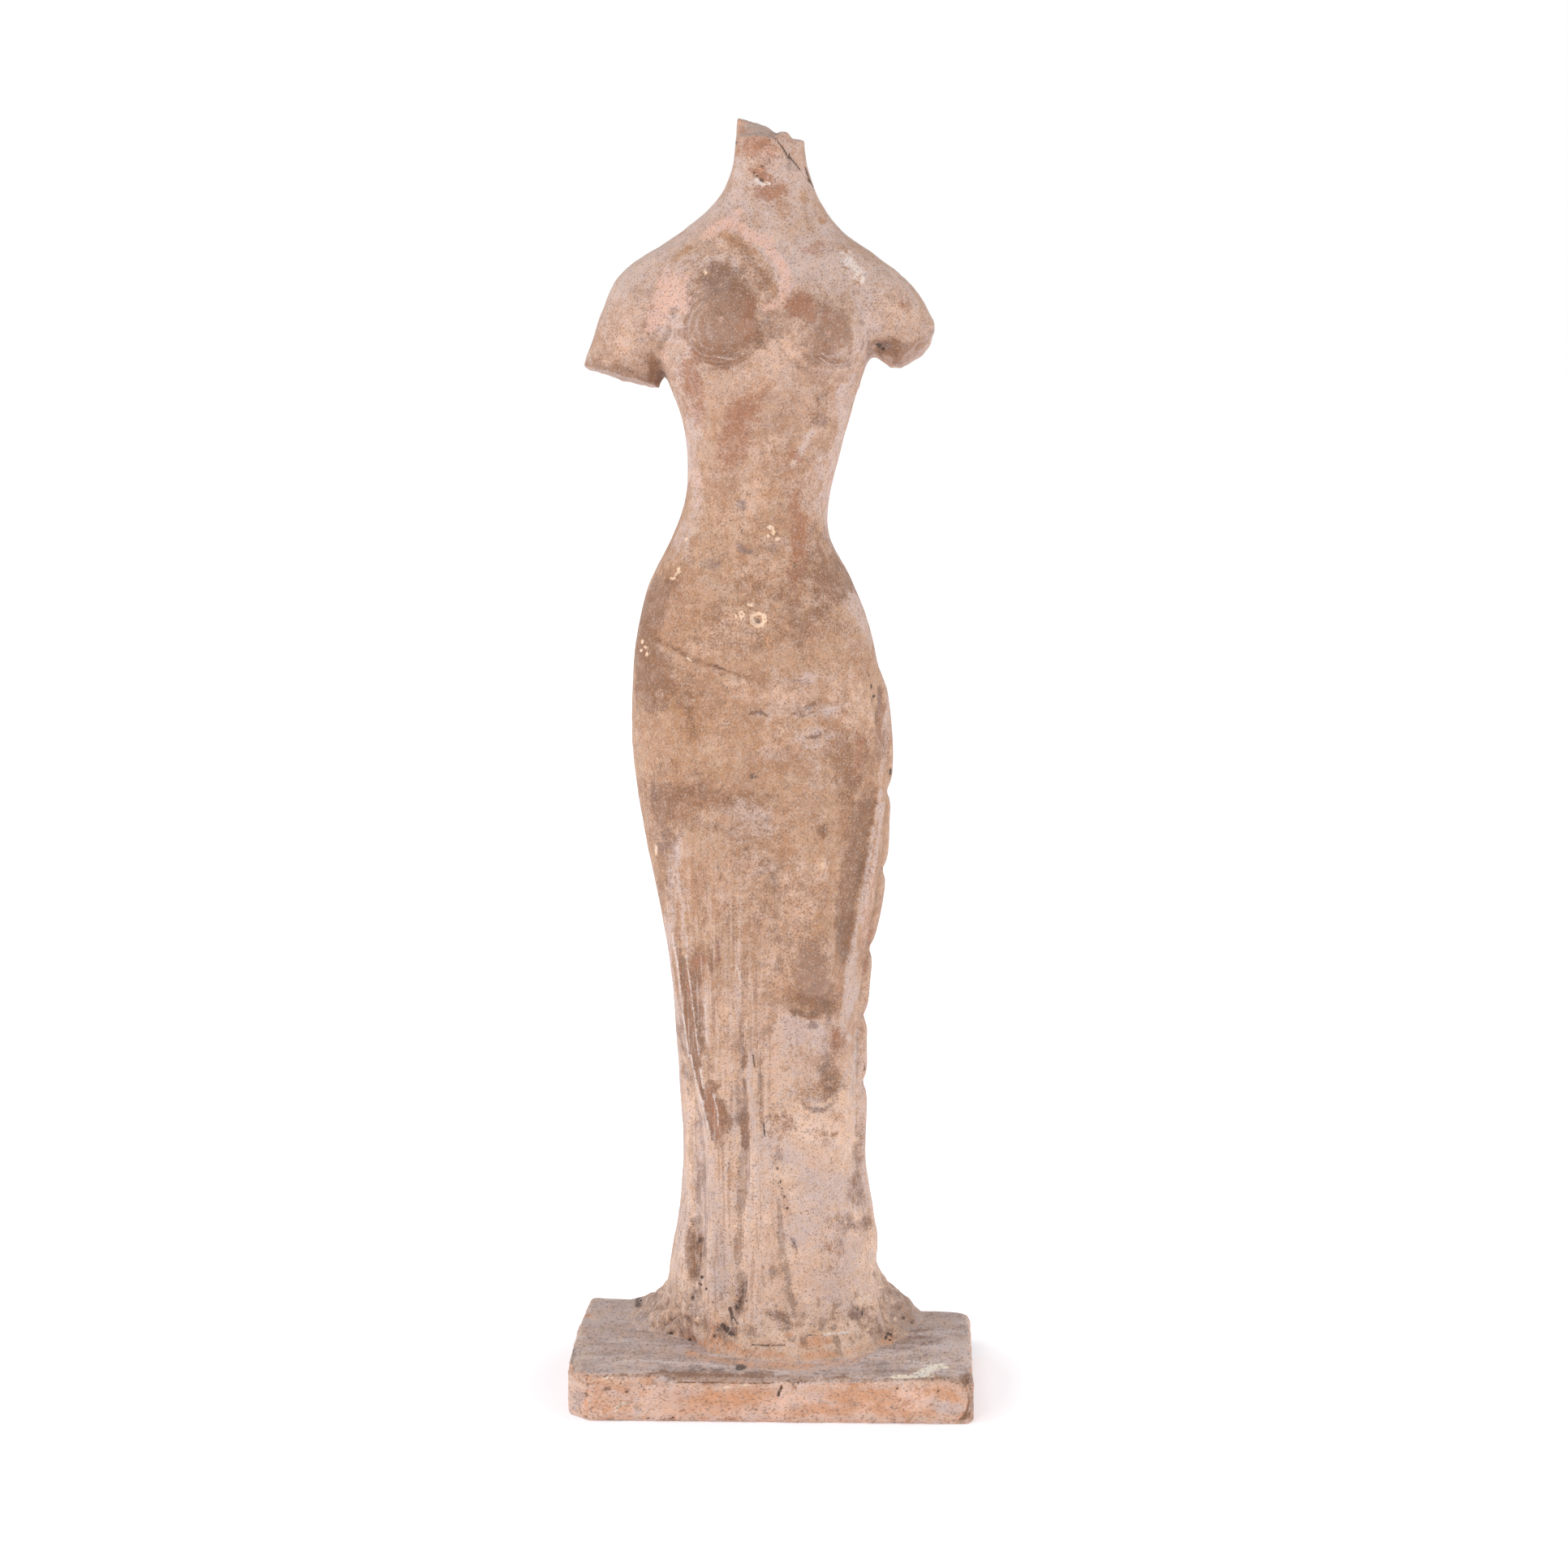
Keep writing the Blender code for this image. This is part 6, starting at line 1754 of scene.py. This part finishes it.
def pinholes(tree, place, chosen_range):
    """Small round holes in some cells of a scatter, darkened in the colour as painted shade."""
    cells = add_node(tree, 'ShaderNodeTexVoronoi', (("Vector", place), ("Scale", 1 / PINHOLE_SPACING)))
    chosen = add_node(tree, 'ShaderNodeSeparateColor', (("Color", cells.outputs["Color"]),)).outputs[0]
    return times(tree, ramp(tree, cells.outputs["Distance"], *PINHOLE_RANGE),
                 ramp(tree, chosen, *chosen_range, 0.0, PINHOLE_MOST))


def clay(name, tones, wear, lie, slab):
    """Worn, stained, unglazed clay."""
    material = bpy.data.materials.new(name)
    material.use_nodes = True
    tree = material.node_tree
    shader = tree.nodes["Principled BSDF"]
    place = add_node(tree, 'ShaderNodeTexCoord').outputs["Object"]
    above = add_node(tree, 'ShaderNodeSeparateXYZ', ((0, place),)).outputs[2]
    most_darkening, most_rubbed, *chosen_range = wear
    cloud = grain(tree, place, CLOUDS)
    mottle, pepper, salt = (grain(tree, place, kind, lie) for kind in (MOTTLE, PEPPER, SALT))
    grit = times(tree, minus(tree, plus(tree, pepper, mottle), 1.0), GRIT)

    # Body of the clay, its clouds and stains
    blotches = plus(tree, grain(tree, place, BLOTCHES), times(tree, grit, BLOTCH_GRIT))
    colour = laid_over(tree, ramp(tree, blotches, *BLOTCH_RANGE),
                       by_height(tree, above, [(level, first) for level, first, _ in tones]),
                       by_height(tree, above, [(level, second) for level, _, second in tones]))
    if slab:
        colour = brushed_top(tree, place, colour)
    colour = clouded(tree, above, cloud, grit, colour)
    colour = finished(tree, place, grit, colour)
    if not slab:
        colour = streaked(tree, place, colour)
        colour, strokes = combed(tree, place, colour)
        broken = times(tree, layer(tree, "broken"), BROKEN_MOST)
        colour = laid_over(tree, broken, colour, opaque(BROKEN))

    # Darkening in the hollows, wear, the grit of the fabric, specks and pinholes
    colour = rubbed(tree, cloud, grit, most_darkening, most_rubbed, colour)
    tint = ramp(tree, grain(tree, place, TINTING, lie), *TINT_RANGE)
    tint = laid_over(tree, tint, opaque(WARM_TINT), opaque(COOL_TINT))
    colour = laid_over(tree, 1.0, colour, tint, 'MULTIPLY')
    coarser = COARSER_RANGE[2] if slab else ramp(tree, above, *COARSER_RANGE)
    speckle = minus(tree, 1.0, times(tree, times(tree, grit, coarser), SPECKLE))
    colour = laid_over(tree, 1.0, colour, speckle, 'MULTIPLY')
    dark_specks = ramp(tree, pepper, *DARK_SPECKS)
    colour = laid_over(tree, dark_specks, colour, opaque(SPECK_DARK))
    colour = laid_over(tree, ramp(tree, salt, *PALE_SPECKS), colour, opaque(SPECK_PALE))
    # pinholes darkened in the colour: painted shade
    holes = pinholes(tree, place, chosen_range)
    colour = laid_over(tree, holes, colour, opaque(SPECK_DARK))

    # Shader
    tree.links.new(colour, shader.inputs["Base Color"])
    tree.links.new(ramp(tree, mottle, *ROUGHNESS_RANGE), shader.inputs["Roughness"])
    shader.inputs["Metallic"].default_value = 0.0
    shader.inputs["Specular IOR Level"].default_value = 0.3
    shader.inputs["Sheen Weight"].default_value = 0.12
    shader.inputs["Sheen Roughness"].default_value = 0.5
    height = plus(tree, times(tree, mottle, BUMP_MOTTLE), times(tree, salt, BUMP_SALT))
    height = minus(tree, height, times(tree, dark_specks, BUMP_SPECKS))
    height = minus(tree, height, holes)
    if not slab:
        height = plus(tree, height, times(tree, strokes, BUMP_STROKES))
    bump = add_node(tree, 'ShaderNodeBump', (
        ("Strength", BUMP_STRENGTH), ("Distance", BUMP_DEPTH), ("Height", height)))
    tree.links.new(bump.outputs[0], shader.inputs["Normal"])
    return material


# Studio

def add_light(name, place, size, power):
    """Soft rectangular light, aimed at the figure."""
    data = bpy.data.lights.new(name, 'AREA')
    data.shape = 'RECTANGLE'
    data.size, data.size_y = size
    data.energy = power
    light = bpy.data.objects.new(name, data)
    light.location = place
    light.rotation_euler = (Vector(LIGHT_AIM) - Vector(place)).to_track_quat('-Z', 'Y').to_euler()
    bpy.context.scene.collection.objects.link(light)


def make_studio():
    """White surround, a floor that glows white as painted light, and a soft light on each side of the camera.
    """
    world = bpy.data.worlds.new("white tent")
    bpy.context.scene.world = world
    world.use_nodes = True
    tree = world.node_tree
    light = add_node(tree, 'ShaderNodeBackground', (("Color", opaque(WHITE)), ("Strength", WORLD_LIGHT)))
    backdrop = add_node(tree, 'ShaderNodeBackground', (("Color", opaque(WHITE)), ("Strength", 1.0)))
    ray = add_node(tree, 'ShaderNodeLightPath')
    mixed = add_node(tree, 'ShaderNodeMixShader', (
        (0, ray.outputs["Is Camera Ray"]), (1, light.outputs[0]), (2, backdrop.outputs[0])))
    tree.links.new(mixed.outputs[0], tree.nodes["World Output"].inputs[0])
    mesh = bmesh.new()
    bmesh.ops.create_grid(mesh, x_segments=2, y_segments=2, size=FLOOR_SIZE / 2)
    floor = new_object("floor", [mesh])
    material = bpy.data.materials.new("glowing white floor")
    material.use_nodes = True
    tree = material.node_tree
    shader = tree.nodes["Principled BSDF"]
    shader.inputs["Base Color"].default_value = opaque(FLOOR_COLOUR)
    shader.inputs["Roughness"].default_value = 0.9
    shader.inputs["Specular IOR Level"].default_value = 0.0
    shader.inputs["Emission Color"].default_value = opaque(WHITE)
    place = add_node(tree, 'ShaderNodeTexCoord').outputs["Object"]
    away = add_node(tree, 'ShaderNodeVectorMath', ((0, place),), operation='LENGTH').outputs["Value"]
    # painted light: the floor glows, less near the slab
    tree.links.new(ramp(tree, away, *FLOOR_GLOW_RANGE), shader.inputs["Emission Strength"])
    floor.data.materials.append(material)
    for name, spot, size, power in LIGHTS:
        add_light(name, spot, size, power)


def make_camera():
    data = bpy.data.cameras.new("camera")
    data.lens = CAMERA_LENS
    data.sensor_width = CAMERA_SENSOR
    camera = bpy.data.objects.new("camera", data)
    camera.location = CAMERA_PLACE
    camera.rotation_euler = (CAMERA_AIM - CAMERA_PLACE).to_track_quat('-Z', 'Y').to_euler()
    bpy.context.scene.collection.objects.link(camera)
    bpy.context.scene.camera = camera


bpy.context.scene.view_settings.view_transform = 'Standard'
make_camera()
for piece, material in (
        (make_figure(), clay("figure clay", FIGURE_TONES, FIGURE_WEAR, EVENLY, False)),
        (make_slab(), clay("slab clay", SLAB_TONES, SLAB_WEAR, SLAB_LIE, True))):
    piece.data.materials.clear()
    piece.data.materials.append(material)
make_studio()
